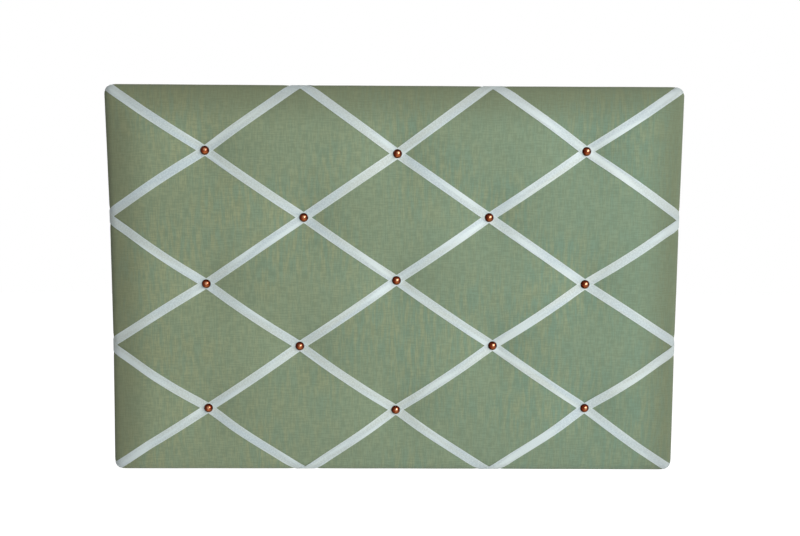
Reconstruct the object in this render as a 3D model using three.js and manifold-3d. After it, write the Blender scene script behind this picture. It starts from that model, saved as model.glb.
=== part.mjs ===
// French memo board: a padded board covered in cloth, crossed by a lattice of ribbons
// that are held by domed nails, with a backing panel and two D-ring hangers.
// Millimetres. The board is drawn lying face up (x across it, y up it, z out of its face),
// with z = 0 on the rear of the backing, and the finished group is stood upright.
import * as THREE from 'three';
import { mergeVertices } from 'three/addons/utils/BufferGeometryUtils.js';
import Module from 'manifold-3d';

// Clearance between pieces that lie on, or pass through, each other
const FIT_GAP = 0.3;

// Padded board, measured over the cover
const BOARD_WIDTH = 600;
const BOARD_HEIGHT = 408;
const CORNER_RADIUS = 9;
const FACE_ROLL = 8;
const REAR_ROLL = 2;
const CORE_THICKNESS = 12;
const WADDING_FRONT = 5;
const WADDING_SIDE = 3;
const COVER_THICKNESS = 0.6;
const HEM_CLEARANCE = 2;

// Soft hollow drawn into the face by each nail
const TUFT_RADIUS = 24;
const TUFT_SEAT = 9;
const TUFT_DEPTH = 2.4;
const TUFT_BELLY = 0.42;

// Ribbons
const RIBBON_WIDTH = 10;
const RIBBON_THICKNESS = 0.4;
const RIBBON_TAIL = 45;
const LAP_EASE = 0.8;
const LAP_RUN = 7;
const END_LAP_EASE = 3;

// Domed nails
const NAIL_HEAD_DIAMETER = 9.5;
const NAIL_HEAD_HEIGHT = 3.6;
const NAIL_HEAD_WALL = 0.5;
const NAIL_SHANK_DIAMETER = 1.6;
const NAIL_LENGTH = 13;
const NAIL_POINT = 3;

// Staples that hold the ribbon tails
const STAPLE_CROWN = 6;
const STAPLE_WIRE = 0.5;
const STAPLE_BREADTH = 0.9;
const STAPLE_LEG = 7;
const STAPLE_SETBACK = 8;

// Backing panel
const BACKING_THICKNESS = 1.5;
const BACKING_INSET = 9;
const BACKING_CORNER = 5;

// D-ring hangers, placed from the board's side and top edges to the ring's bar
const HANGER_FROM_SIDE = 80;
const HANGER_FROM_TOP = 84;
const STRAP_WIDTH = 10;
const STRAP_THICKNESS = 0.8;
const STRAP_END = 6;
const SCREW_FROM_BAR = 20;
const RING_WIRE = 2.4;
const RING_INSIDE_WIDTH = 15;
const RING_INSIDE_HEIGHT = 12;
const RING_BEND = 3;
const RING_LEAN = THREE.MathUtils.degToRad(4);
const SCREW_HEAD_DIAMETER = 6.4;
const SCREW_HEAD_HEIGHT = 2;
const SCREW_DIAMETER = 3;
const SCREW_LENGTH = 12;
const SCREW_POINT = 3;

// Facets
const CORNER_STEPS = 3;
const FACE_ROLL_STEPS = 4;
const REAR_ROLL_STEPS = 2;
const TUFT_SIDES = 10;
const HOLE_SIDES = 6;
const NAIL_SIDES = 12;
const NAIL_DOME_STEPS = 4;
const WIRE_SIDES = 8;
const RING_STEPS = 28;
const EYE_STEPS = 10;
const CORNER_LANES = 5;

// Levels, from the rear of the backing to the face of the cover
const HALF_WIDTH = BOARD_WIDTH / 2;
const HALF_HEIGHT = BOARD_HEIGHT / 2;
const LAP_LIFT = RIBBON_THICKNESS + FIT_GAP;
const STAPLE_SEAT = BACKING_THICKNESS + FIT_GAP + STAPLE_WIRE;
const COVER_REAR = STAPLE_SEAT + FIT_GAP + RIBBON_THICKNESS + FIT_GAP;
const CORE_REAR = COVER_REAR + COVER_THICKNESS + FIT_GAP;
const CORE_FRONT = CORE_REAR + CORE_THICKNESS;
const COVER_FACE = CORE_FRONT + FIT_GAP + WADDING_FRONT + FIT_GAP + COVER_THICKNESS;
const WADDING_INSET = COVER_THICKNESS + FIT_GAP;
const CORE_INSET = WADDING_INSET + WADDING_SIDE + FIT_GAP;
const CUT_MARGIN = 1;

// Lengths along the section of the edge, from the face round to the rear
const FACE_ROLL_LENGTH = (FACE_ROLL * Math.PI) / 2;
const SIDE_LENGTH = COVER_FACE - FACE_ROLL - (COVER_REAR + REAR_ROLL);
const REAR_ROLL_START = FACE_ROLL_LENGTH + SIDE_LENGTH;
const REAR_START = REAR_ROLL_START + (REAR_ROLL * Math.PI) / 2;

const wasm = await Module();
wasm.setup();

// Solids

// Welds a geometry's shared corners, drops collapsed triangles and turns its faces outwards
function weld(geometry) {
  const bare = geometry.clone();
  bare.deleteAttribute('normal');
  bare.deleteAttribute('uv');
  const merged = mergeVertices(bare);
  const position = merged.getAttribute('position');
  const corner = [0, 1, 2].map(() => new THREE.Vector3());
  const kept = [];
  let volume = 0;
  for (let i = 0; i < merged.index.count; i += 3) {
    const face = [0, 1, 2].map((k) => merged.index.getX(i + k));
    if (new Set(face).size < 3) continue;
    face.forEach((vertex, k) => corner[k].fromBufferAttribute(position, vertex));
    volume += corner[0].dot(corner[1].clone().cross(corner[2]));
    kept.push(face);
  }
  const indices = kept.flatMap(([a, b, c]) => (volume < 0 ? [a, c, b] : [a, b, c]));
  merged.setIndex(indices);
  return merged;
}

// Turns a closed geometry into a solid that can be joined and cut
function toSolid(geometry) {
  const welded = weld(geometry);
  return new wasm.Manifold(
    new wasm.Mesh({
      numProp: 3,
      vertProperties: Float32Array.from(welded.getAttribute('position').array),
      triVerts: Uint32Array.from(welded.index.array),
    }),
  );
}

// Turns a solid back into a geometry
function toGeometry(solid) {
  const mesh = solid.getMesh();
  const geometry = new THREE.BufferGeometry();
  geometry.setAttribute('position', new THREE.BufferAttribute(mesh.vertProperties, 3));
  geometry.setIndex(new THREE.BufferAttribute(mesh.triVerts, 1));
  return geometry;
}

// Cuts a list of geometries out of a solid
function cutAll(solid, cutters) {
  return cutters.reduce((rest, cutter) => rest.subtract(toSolid(cutter)), solid);
}

// Builds a geometry from a list of corner points and triples of their indices
function fromFaces(points, faces) {
  const geometry = new THREE.BufferGeometry().setFromPoints(points);
  geometry.setIndex(faces.flat());
  return geometry;
}

// Joins two rings of n points, whose first corners are a and b, with a band of triangles
function band(a, b, n) {
  const faces = [];
  for (let k = 0; k < n; k += 1) {
    const next = (k + 1) % n;
    faces.push([a + k, b + k, b + next], [a + k, b + next, a + next]);
  }
  return faces;
}

// Fills a flat outline, less its holes, with anticlockwise triangles
function flatFaces(contour, holes) {
  const points = [contour, ...holes].flat();
  return THREE.ShapeUtils.triangulateShape(contour, holes).map(([a, b, c]) => {
    const turn = points[b].clone().sub(points[a]).cross(points[c].clone().sub(points[a]));
    return turn > 0 ? [a, b, c] : [a, c, b];
  });
}

// Corner points of a regular polygon round a centre, anticlockwise
function polygon(centre, radius, sides) {
  return Array.from({ length: sides }, (_, k) => {
    const angle = (2 * Math.PI * k) / sides;
    return new THREE.Vector2(Math.cos(angle), Math.sin(angle)).multiplyScalar(radius).add(centre);
  });
}

// A round bar along z, used for holes, from one level to another
function roundBar(point, radius, low, high) {
  const bar = new THREE.CylinderGeometry(radius, radius, high - low, HOLE_SIDES);
  bar.rotateX(Math.PI / 2);
  bar.translate(point.x, point.y, (low + high) / 2);
  return bar;
}

// Outline

// Corner points of the board's rounded outline, drawn in from the cover's edge by an inset
function outline(inset) {
  const radius = Math.max(CORNER_RADIUS - inset, FIT_GAP);
  return roundedCorners(HALF_WIDTH - inset, HALF_HEIGHT - inset, radius);
}

// Points of a rectangle with rounded corners, anticlockwise from its top right corner
function roundedCorners(halfWidth, halfHeight, radius) {
  const points = [];
  const signs = [[1, 1], [-1, 1], [-1, -1], [1, -1]];
  signs.forEach(([sx, sy], quarter) => {
    for (let k = 0; k <= CORNER_STEPS; k += 1) {
      const angle = ((quarter + k / CORNER_STEPS) * Math.PI) / 2;
      const x = sx * (halfWidth - radius) + radius * Math.cos(angle);
      const y = sy * (halfHeight - radius) + radius * Math.sin(angle);
      points.push(new THREE.Vector2(x, y));
    }
  });
  return points;
}

// How far a point lies inside the outline of the cover
function insetAt(point) {
  const dx = Math.abs(point.x) - (HALF_WIDTH - CORNER_RADIUS);
  const dy = Math.abs(point.y) - (HALF_HEIGHT - CORNER_RADIUS);
  const outside = Math.hypot(Math.max(dx, 0), Math.max(dy, 0));
  return CORNER_RADIUS - outside - Math.min(Math.max(dx, dy), 0);
}

// A plate with rounded corners between two levels
function roundedPlate(inset, radius, low, high) {
  const corners = roundedCorners(HALF_WIDTH - inset, HALF_HEIGHT - inset, radius);
  const plate = new THREE.ExtrudeGeometry(new THREE.Shape(corners), {
    depth: high - low,
    bevelEnabled: false,
  });
  plate.translate(0, 0, low);
  return plate;
}

// Section of the edge

// Inset and level of the point that lies a length q past the start of the face's rolled edge,
// lifted off the cover by an offset
function edgeSection(q, offset) {
  const rollLevel = COVER_FACE - FACE_ROLL;
  if (q <= 0) {
    return { inset: FACE_ROLL - q, level: COVER_FACE + offset };
  }
  if (q < FACE_ROLL_LENGTH) {
    const angle = q / FACE_ROLL;
    const reach = FACE_ROLL + offset;
    return { inset: FACE_ROLL - reach * Math.sin(angle), level: rollLevel + reach * Math.cos(angle) };
  }
  if (q < REAR_ROLL_START) {
    return { inset: -offset, level: rollLevel - (q - FACE_ROLL_LENGTH) };
  }
  if (q < REAR_START) {
    const angle = (q - REAR_ROLL_START) / REAR_ROLL;
    const reach = REAR_ROLL + offset;
    const level = COVER_REAR + REAR_ROLL - reach * Math.sin(angle);
    return { inset: REAR_ROLL - reach * Math.cos(angle), level };
  }
  return { inset: REAR_ROLL + q - REAR_START, level: COVER_REAR - offset };
}

// Lengths along the section at which the faceted edge bends
function edgeBends() {
  const bends = [];
  for (let k = 0; k <= FACE_ROLL_STEPS; k += 1) {
    bends.push((FACE_ROLL_LENGTH * k) / FACE_ROLL_STEPS);
  }
  for (let k = 0; k <= REAR_ROLL_STEPS; k += 1) {
    bends.push(REAR_ROLL_START + ((REAR_START - REAR_ROLL_START) * k) / REAR_ROLL_STEPS);
  }
  return bends;
}

// Ribbon lattice

// A mark on an edge, one sixth of the board from its middle (side -1 or 1), with the slip
// along the edge that laying by hand left
function edgeMark(edge, side, slip) {
  const sideways = edge === 'top' || edge === 'bottom';
  const positive = edge === 'top' || edge === 'right' ? 1 : -1;
  const out = sideways ? new THREE.Vector2(0, positive) : new THREE.Vector2(positive, 0);
  const along = sideways ? new THREE.Vector2(1, 0) : new THREE.Vector2(0, 1);
  const half = sideways ? HALF_HEIGHT : HALF_WIDTH;
  const place = (side * (sideways ? BOARD_WIDTH : BOARD_HEIGHT)) / 6 + slip;
  const point = out.clone().multiplyScalar(half).addScaledVector(along, place);
  return { key: `${edge} ${side}`, point, out, along };
}

// A mark on a corner, with its slip along the two edges that meet there
function cornerMark(sideX, sideY, slipX, slipY) {
  const point = new THREE.Vector2(sideX * HALF_WIDTH + slipX, sideY * HALF_HEIGHT + slipY);
  return { key: `corner ${sideX} ${sideY}`, point, out: null };
}

// The ribbons in the order in which they are laid, each over the ones before it
const RIBBONS = [
  { name: 'ribbon_fall_1', from: cornerMark(-1, 1, 4, 0), to: cornerMark(1, -1, 0, 4) },
  { name: 'ribbon_rise_1', from: cornerMark(-1, -1, 3.5, 0), to: cornerMark(1, 1, -4, 0) },
  { name: 'ribbon_fall_2', from: edgeMark('top', -1, 0.5), to: edgeMark('right', -1, -1.5) },
  { name: 'ribbon_fall_3', from: edgeMark('top', 1, 2), to: edgeMark('right', 1, -0.5) },
  { name: 'ribbon_rise_2', from: edgeMark('left', -1, -4.5), to: edgeMark('top', 1, 5.5) },
  { name: 'ribbon_rise_3', from: edgeMark('left', 1, -2), to: edgeMark('top', -1, 3) },
  { name: 'ribbon_fall_4', from: edgeMark('left', 1, -1), to: edgeMark('bottom', 1, 1) },
  { name: 'ribbon_fall_5', from: edgeMark('left', -1, 1), to: edgeMark('bottom', -1, 5) },
  { name: 'ribbon_rise_4', from: edgeMark('bottom', -1, 4), to: edgeMark('right', 1, -2) },
  { name: 'ribbon_rise_5', from: edgeMark('bottom', 1, 2.5), to: edgeMark('right', -1, -1) },
];

RIBBONS.forEach((ribbon, order) => {
  ribbon.order = order;
  ribbon.along = ribbon.to.point.clone().sub(ribbon.from.point).normalize();
  ribbon.across = new THREE.Vector2(-ribbon.along.y, ribbon.along.x);
  ribbon.length = ribbon.to.point.distanceTo(ribbon.from.point);
  ribbon.lanes = ribbon.from.out ? 1 : CORNER_LANES;
  ribbon.crossings = [];
});

// The point where the centre lines of two ribbons meet, or null if they run alongside
function meeting(a, b) {
  const turn = a.along.cross(b.along);
  if (Math.abs(turn) < 0.1) return null;
  const s = b.from.point.clone().sub(a.from.point).cross(b.along) / turn;
  return a.from.point.clone().addScaledVector(a.along, s);
}

// Every crossing on the face takes a nail, numbered along the rows from the top left
const CROSSINGS = [];
RIBBONS.forEach((under, order) => {
  RIBBONS.slice(order + 1).forEach((over) => {
    const point = meeting(under, over);
    if (!point || insetAt(point) < TUFT_RADIUS + FACE_ROLL) return;
    const turn = Math.abs(under.along.dot(over.along));
    const lap = (RIBBON_WIDTH / 2) * Math.sqrt((1 + turn) / (1 - turn)) + LAP_EASE;
    const crossing = { point, under, over, lap };
    CROSSINGS.push(crossing);
    under.crossings.push(crossing);
    over.crossings.push(crossing);
  });
});
const rowOf = (crossing) => Math.round(crossing.point.y / (BOARD_HEIGHT / 6));
CROSSINGS.sort((a, b) => rowOf(b) - rowOf(a) || a.point.x - b.point.x);

// Rings of the hollow round a nail, from its seat outwards
const TUFT_RINGS = [
  { radius: TUFT_SEAT, depth: TUFT_DEPTH },
  { radius: (TUFT_SEAT + TUFT_RADIUS) / 2, depth: TUFT_DEPTH * TUFT_BELLY },
  { radius: TUFT_RADIUS, depth: 0 },
];
const TUFT_APOTHEM = Math.cos(Math.PI / TUFT_SIDES);

// Depth of the faceted hollow under the edge of a ribbon, a distance s along it from the nail
function hollowUnder(s) {
  const radius = Math.hypot(s, RIBBON_WIDTH / 2) / TUFT_APOTHEM;
  if (radius <= TUFT_SEAT) return TUFT_DEPTH;
  for (let k = 1; k < TUFT_RINGS.length; k += 1) {
    const inner = TUFT_RINGS[k - 1];
    const outer = TUFT_RINGS[k];
    if (radius <= outer.radius) {
      const share = (radius - inner.radius) / (outer.radius - inner.radius);
      return inner.depth + share * (outer.depth - inner.depth);
    }
  }
  return 0;
}

// Distances from a nail at which a ribbon that crosses there bends
function crossingBends(lap, isOver) {
  const bends = isOver ? [lap, lap + LAP_RUN] : [lap];
  TUFT_RINGS.slice(1).forEach((ring) => {
    const square = (ring.radius * TUFT_APOTHEM) ** 2 - (RIBBON_WIDTH / 2) ** 2;
    if (square > lap ** 2) bends.push(Math.sqrt(square));
  });
  bends.sort((a, b) => a - b);
  return [...bends.map((s) => -s).reverse(), ...bends];
}

// Height of a ribbon's underside over the face, a distance s from a nail
function crossingHeight(s, lap, isOver) {
  const run = THREE.MathUtils.clamp((lap + LAP_RUN - Math.abs(s)) / LAP_RUN, 0, 1);
  return FIT_GAP - hollowUnder(s) + (isOver ? LAP_LIFT * run : 0);
}

// Shares of the ribbon's width at which its lanes meet, from its right side to its left
function laneShares(ribbon) {
  return Array.from({ length: ribbon.lanes + 1 }, (_, k) => k / ribbon.lanes - 0.5);
}

// One row across a ribbon: its points on the upper side, and on the under side going back
function row(ribbon, place) {
  const shares = laneShares(ribbon);
  const upper = shares.map((share) => place(share * RIBBON_WIDTH, RIBBON_THICKNESS));
  const under = shares.map((share) => place(share * RIBBON_WIDTH, 0));
  return [...upper, ...under.reverse()];
}

// A row across the face at a distance s from the ribbon's first mark
function faceRow(ribbon, s, height) {
  return row(ribbon, (shift, rise) => {
    const point = ribbon.from.point.clone();
    point.addScaledVector(ribbon.along, s).addScaledVector(ribbon.across, shift);
    return new THREE.Vector3(point.x, point.y, COVER_FACE + height + rise);
  });
}

// Rows round a straight edge, where the ribbon keeps its slant as if the edge were unrolled
function edgeRows(ribbon, end, outward) {
  const isOver = RIBBONS.some((other) => {
    const shares = other.from.key === end.key || other.to.key === end.key;
    return shares && other.order < ribbon.order;
  });
  const square = outward.dot(end.out);
  const slant = outward.dot(end.along) / square;
  const placeAt = (q, inset, shift) => {
    const point = end.out.clone().multiplyScalar(end.point.dot(end.out) - inset);
    const sideways = (q - FACE_ROLL) * slant + shift / ribbon.across.dot(end.along);
    return point.addScaledVector(end.along, end.point.dot(end.along) + sideways);
  };
  const rowAt = (q, lift) =>
    row(ribbon, (shift, rise) => {
      const { inset, level } = edgeSection(q, FIT_GAP + lift + rise);
      const point = placeAt(q, inset, shift);
      return new THREE.Vector3(point.x, point.y, level);
    });
  const rows = edgeBends().map((q) => rowAt(q, isOver ? LAP_LIFT : 0));
  if (isOver) {
    const lap = RIBBON_WIDTH / 2 / Math.abs(outward.dot(end.along)) + END_LAP_EASE;
    const settled = Math.max(FACE_ROLL + lap, REAR_START + FIT_GAP);
    rows.unshift(rowAt(FACE_ROLL - lap - LAP_RUN, 0), rowAt(FACE_ROLL - lap, LAP_LIFT));
    rows.push(rowAt(settled, LAP_LIFT), rowAt(settled + LAP_RUN, 0));
  }
  rows.push(rowAt(REAR_START + RIBBON_TAIL * square, 0));
  const held = REAR_START + (RIBBON_TAIL - STAPLE_SETBACK) * square;
  const inward = end.out.clone().negate().addScaledVector(end.along, slant).normalize();
  return { rows, pin: { point: placeAt(held, edgeSection(held, 0).inset, 0), along: inward } };
}

// Rows round a corner, each lane in its own upright plane
function cornerRows(ribbon, end, outward) {
  const laneAt = (shift, run) => {
    const point = end.point.clone().addScaledVector(ribbon.across, shift);
    return point.addScaledVector(outward, run);
  };
  const runAt = (shift, inset) => {
    let near = -HALF_HEIGHT;
    let far = HALF_HEIGHT;
    while (far - near > 1e-6) {
      const middle = (near + far) / 2;
      if (insetAt(laneAt(shift, middle)) > inset) near = middle;
      else far = middle;
    }
    return near;
  };
  const rows = edgeBends().map((q) =>
    row(ribbon, (shift, rise) => {
      const { inset, level } = edgeSection(q, FIT_GAP + rise);
      const point = laneAt(shift, runAt(shift, inset));
      return new THREE.Vector3(point.x, point.y, level);
    }),
  );
  const fold = runAt(0, REAR_ROLL);
  rows.push(
    row(ribbon, (shift, rise) => {
      const point = laneAt(shift, fold - RIBBON_TAIL);
      return new THREE.Vector3(point.x, point.y, COVER_REAR - FIT_GAP - rise);
    }),
  );
  const pin = laneAt(0, fold - RIBBON_TAIL + STAPLE_SETBACK);
  return { rows, pin: { point: pin, along: outward.clone().negate() } };
}

// The whole ribbon: its first tail, the face with its crossings, and its second tail
function ribbonForm(ribbon) {
  const wrap = (end, outward) => (end.out ? edgeRows : cornerRows)(ribbon, end, outward);
  const first = wrap(ribbon.from, ribbon.along.clone().negate());
  const second = wrap(ribbon.to, ribbon.along);
  const rows = [...first.rows].reverse();
  const distance = ({ point }) => point.distanceTo(ribbon.from.point);
  [...ribbon.crossings]
    .sort((a, b) => distance(a) - distance(b))
    .forEach((crossing) => {
      const isOver = crossing.over === ribbon;
      crossingBends(crossing.lap, isOver).forEach((s) => {
        const height = crossingHeight(s, crossing.lap, isOver);
        rows.push(faceRow(ribbon, distance(crossing) + s, height));
      });
    });
  rows.push(...second.rows);
  return { geometry: stripGeometry(rows), pins: [first.pin, second.pin] };
}

// Skins a list of rows, each a closed loop of points, and closes both ends
function stripGeometry(rows) {
  const n = rows[0].length;
  const faces = [];
  for (let k = 0; k + 1 < rows.length; k += 1) faces.push(...band(k * n, (k + 1) * n, n));
  const last = (rows.length - 1) * n;
  for (let k = 0; k + 1 < n / 2; k += 1) {
    const corners = [k, k + 1, n - 2 - k, n - 1 - k];
    const [a, b, c, d] = corners;
    faces.push([a, b, c], [a, c, d]);
    faces.push([last + a, last + c, last + b], [last + a, last + d, last + c]);
  }
  return fromFaces(rows.flat(), faces);
}

// Padded board

// The padded board's whole form, drawn in from the cover's outer side by a depth
function paddedForm(depth) {
  const points = [];
  const faces = [];
  const addRing = (ring, level) => {
    ring.forEach((p) => points.push(new THREE.Vector3(p.x, p.y, level)));
    return points.length - ring.length;
  };
  const face = outline(FACE_ROLL);
  const hollows = CROSSINGS.map(({ point }) => polygon(point, TUFT_RADIUS, TUFT_SIDES));
  addRing([face, ...hollows].flat(), COVER_FACE - depth);
  faces.push(...flatFaces(face, hollows));
  CROSSINGS.forEach(({ point }, k) => {
    let outer = face.length + k * TUFT_SIDES;
    TUFT_RINGS.slice(0, -1).reverse().forEach(({ radius, depth: sunk }) => {
      const ring = polygon(point, radius, TUFT_SIDES);
      const inner = addRing(ring, COVER_FACE - depth - sunk);
      faces.push(...band(inner, outer, TUFT_SIDES));
      outer = inner;
    });
    for (let n = 1; n + 1 < TUFT_SIDES; n += 1) faces.push([outer, outer + n, outer + n + 1]);
  });
  let previous = 0;
  edgeBends().slice(1).forEach((q) => {
    const { inset, level } = edgeSection(q, -depth);
    const ring = addRing(outline(inset), level);
    faces.push(...band(previous, ring, face.length));
    previous = ring;
  });
  const rear = points.slice(previous).map((p) => new THREE.Vector2(p.x, p.y));
  flatFaces(rear, []).forEach(([a, b, c]) => faces.push([previous + a, previous + c, previous + b]));
  return fromFaces(points, faces);
}

// Nails

// Level of the rim of a nail's head, on the upper ribbon of its crossing
function nailRim(crossing) {
  const upper = crossingHeight(crossing.lap, crossing.lap, true);
  return COVER_FACE + upper + RIBBON_THICKNESS + FIT_GAP;
}

// A domed nail along z, with its rim at z = 0 and a hollow head
function nailGeometry() {
  const head = NAIL_HEAD_DIAMETER / 2;
  const shank = NAIL_SHANK_DIAMETER / 2;
  const inner = head - NAIL_HEAD_WALL;
  const roof = NAIL_HEAD_HEIGHT - NAIL_HEAD_WALL;
  const profile = [new THREE.Vector2(0, -NAIL_LENGTH)];
  profile.push(new THREE.Vector2(shank, NAIL_POINT - NAIL_LENGTH));
  const start = Math.acos(shank / inner);
  for (let k = 0; k <= NAIL_DOME_STEPS - 1; k += 1) {
    const angle = start * (1 - k / (NAIL_DOME_STEPS - 1));
    profile.push(new THREE.Vector2(inner * Math.cos(angle), roof * Math.sin(angle)));
  }
  for (let k = 0; k < NAIL_DOME_STEPS; k += 1) {
    const angle = (Math.PI / 2) * (k / NAIL_DOME_STEPS);
    profile.push(new THREE.Vector2(head * Math.cos(angle), NAIL_HEAD_HEIGHT * Math.sin(angle)));
  }
  profile.push(new THREE.Vector2(0, NAIL_HEAD_HEIGHT));
  return weld(new THREE.LatheGeometry(profile, NAIL_SIDES)).rotateX(Math.PI / 2);
}

// A hole for a nail's shank, from one level up through all the layers over it
function nailHole(crossing, low) {
  const radius = NAIL_SHANK_DIAMETER / 2 + FIT_GAP;
  return roundBar(crossing.point, radius, low, nailRim(crossing) + CUT_MARGIN);
}

// Staples

// A staple with its crown along x, its legs towards z and the crown's inner side at z = 0
function stapleGeometry() {
  const half = STAPLE_CROWN / 2;
  const inner = half - STAPLE_WIRE;
  const corners = [
    [-half, -STAPLE_WIRE], [half, -STAPLE_WIRE], [half, STAPLE_LEG], [inner, STAPLE_LEG],
    [inner, 0], [-inner, 0], [-inner, STAPLE_LEG], [-half, STAPLE_LEG],
  ];
  const shape = new THREE.Shape(corners.map(([x, z]) => new THREE.Vector2(x, z)));
  const staple = new THREE.ExtrudeGeometry(shape, { depth: STAPLE_BREADTH, bevelEnabled: false });
  staple.translate(0, 0, -STAPLE_BREADTH / 2);
  return weld(staple.rotateX(Math.PI / 2));
}

// The place of a staple on a ribbon's tail, crown across the ribbon
function staplePlace(pin) {
  const turn = Math.atan2(pin.along.y, pin.along.x) + Math.PI / 2;
  return new THREE.Matrix4().makeRotationZ(turn).setPosition(pin.point.x, pin.point.y, STAPLE_SEAT);
}

// Holes for a staple's two legs
function stapleHoles(pin) {
  const width = STAPLE_WIRE + 2 * FIT_GAP;
  const breadth = STAPLE_BREADTH + 2 * FIT_GAP;
  const length = STAPLE_LEG + FIT_GAP + CUT_MARGIN;
  return [-1, 1].map((side) => {
    const hole = new THREE.BoxGeometry(width, breadth, length);
    const place = (side * (STAPLE_CROWN - STAPLE_WIRE)) / 2;
    return hole.translate(place, 0, length / 2 - CUT_MARGIN).applyMatrix4(staplePlace(pin));
  });
}

// Hangers

// The bar of each ring, held in the eye of its strap behind the backing
const EYE_RADIUS = RING_WIRE / 2 + FIT_GAP;
const BAR_LEVEL = -(FIT_GAP + STRAP_THICKNESS + EYE_RADIUS);
const HANGER_Y = HALF_HEIGHT - HANGER_FROM_TOP;
const HANGERS = [
  { side: 'left', x: HANGER_FROM_SIDE - HALF_WIDTH },
  { side: 'right', x: HALF_WIDTH - HANGER_FROM_SIDE },
];

// A strap with the axis of its eye on x, folded from one strip that curls round the bar
function strapGeometry() {
  const outer = EYE_RADIUS + STRAP_THICKNESS;
  const end = SCREW_FROM_BAR + STRAP_END;
  const close = THREE.MathUtils.degToRad(-200);
  const section = new THREE.Shape();
  section.moveTo(-end, outer);
  section.lineTo(0, outer);
  section.absarc(0, 0, outer, Math.PI / 2, close, true);
  section.absarc(0, 0, EYE_RADIUS, close, Math.PI / 2, false);
  section.lineTo(-end, EYE_RADIUS);
  const strip = new THREE.ExtrudeGeometry(section, {
    depth: STRAP_WIDTH,
    bevelEnabled: false,
    curveSegments: EYE_STEPS,
  });
  strip.translate(0, 0, -STRAP_WIDTH / 2);
  strip.applyMatrix4(new THREE.Matrix4().makeBasis(
    new THREE.Vector3(0, 1, 0),
    new THREE.Vector3(0, 0, 1),
    new THREE.Vector3(1, 0, 0),
  ));
  const half = STRAP_WIDTH / 2;
  const plan = new THREE.Shape();
  plan.moveTo(half, outer + CUT_MARGIN);
  plan.lineTo(-half, outer + CUT_MARGIN);
  plan.lineTo(-half, half - end);
  plan.absarc(0, half - end, half, Math.PI, 2 * Math.PI, false);
  const trim = new THREE.ExtrudeGeometry(plan, {
    depth: 2 * (outer + CUT_MARGIN),
    bevelEnabled: false,
    curveSegments: HOLE_SIDES,
  });
  trim.translate(0, 0, -outer - CUT_MARGIN);
  const hole = roundBar(
    new THREE.Vector2(0, -SCREW_FROM_BAR),
    SCREW_HOLE,
    -outer - CUT_MARGIN,
    outer + CUT_MARGIN,
  );
  return toGeometry(toSolid(strip).intersect(toSolid(trim)).subtract(toSolid(hole)));
}

// A flat path in the x-y plane as a curve in space
class FlatCurve extends THREE.Curve {
  constructor(path) {
    super();
    this.path = path;
  }

  getPoint(t, target = new THREE.Vector3()) {
    const point = this.path.getPointAt(t);
    return target.set(point.x, point.y, 0);
  }
}

// A D-ring with its bar on the x axis, bent from one wire whose ends meet in the bar
function ringGeometry() {
  const half = (RING_INSIDE_WIDTH + RING_WIRE) / 2;
  const shoulder = RING_INSIDE_HEIGHT + RING_WIRE - half;
  const path = new THREE.Path();
  path.moveTo(FIT_GAP / 2, 0);
  path.lineTo(half - RING_BEND, 0);
  path.absarc(half - RING_BEND, RING_BEND, RING_BEND, -Math.PI / 2, 0, false);
  path.lineTo(half, shoulder);
  path.absarc(0, shoulder, half, 0, Math.PI, false);
  path.lineTo(-half, RING_BEND);
  path.absarc(RING_BEND - half, RING_BEND, RING_BEND, Math.PI, 1.5 * Math.PI, false);
  path.lineTo(-FIT_GAP / 2, 0);
  const wire = polygon(new THREE.Vector2(), RING_WIRE / 2, WIRE_SIDES);
  return weld(new THREE.ExtrudeGeometry(new THREE.Shape(wire), {
    steps: RING_STEPS,
    extrudePath: new FlatCurve(path),
  }));
}

// A pan-head screw along z with its head's under side at z = 0 and its point towards z
function screwGeometry() {
  const head = SCREW_HEAD_DIAMETER / 2;
  const shank = SCREW_DIAMETER / 2;
  const crown = SCREW_HEAD_HEIGHT / 2;
  const profile = [
    [0, -SCREW_HEAD_HEIGHT], [head - crown, -SCREW_HEAD_HEIGHT],
    [head - crown * 0.3, -SCREW_HEAD_HEIGHT + crown * 0.3], [head, -crown], [head, 0],
    [shank, 0], [shank, SCREW_LENGTH - SCREW_POINT], [0, SCREW_LENGTH],
  ];
  const points = profile.map(([radius, z]) => new THREE.Vector2(radius, z));
  return weld(new THREE.LatheGeometry(points, NAIL_SIDES)).rotateX(Math.PI / 2);
}

// Level of the under side of a screw's head, on its strap
const SCREW_SEAT = -(FIT_GAP + STRAP_THICKNESS + FIT_GAP);

// Place and radius of the hole for a hanger's screw
const SCREW_HOLE = SCREW_DIAMETER / 2 + FIT_GAP;
const screwPoint = (hanger) => new THREE.Vector2(hanger.x, HANGER_Y - SCREW_FROM_BAR);

// Backing panel

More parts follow.
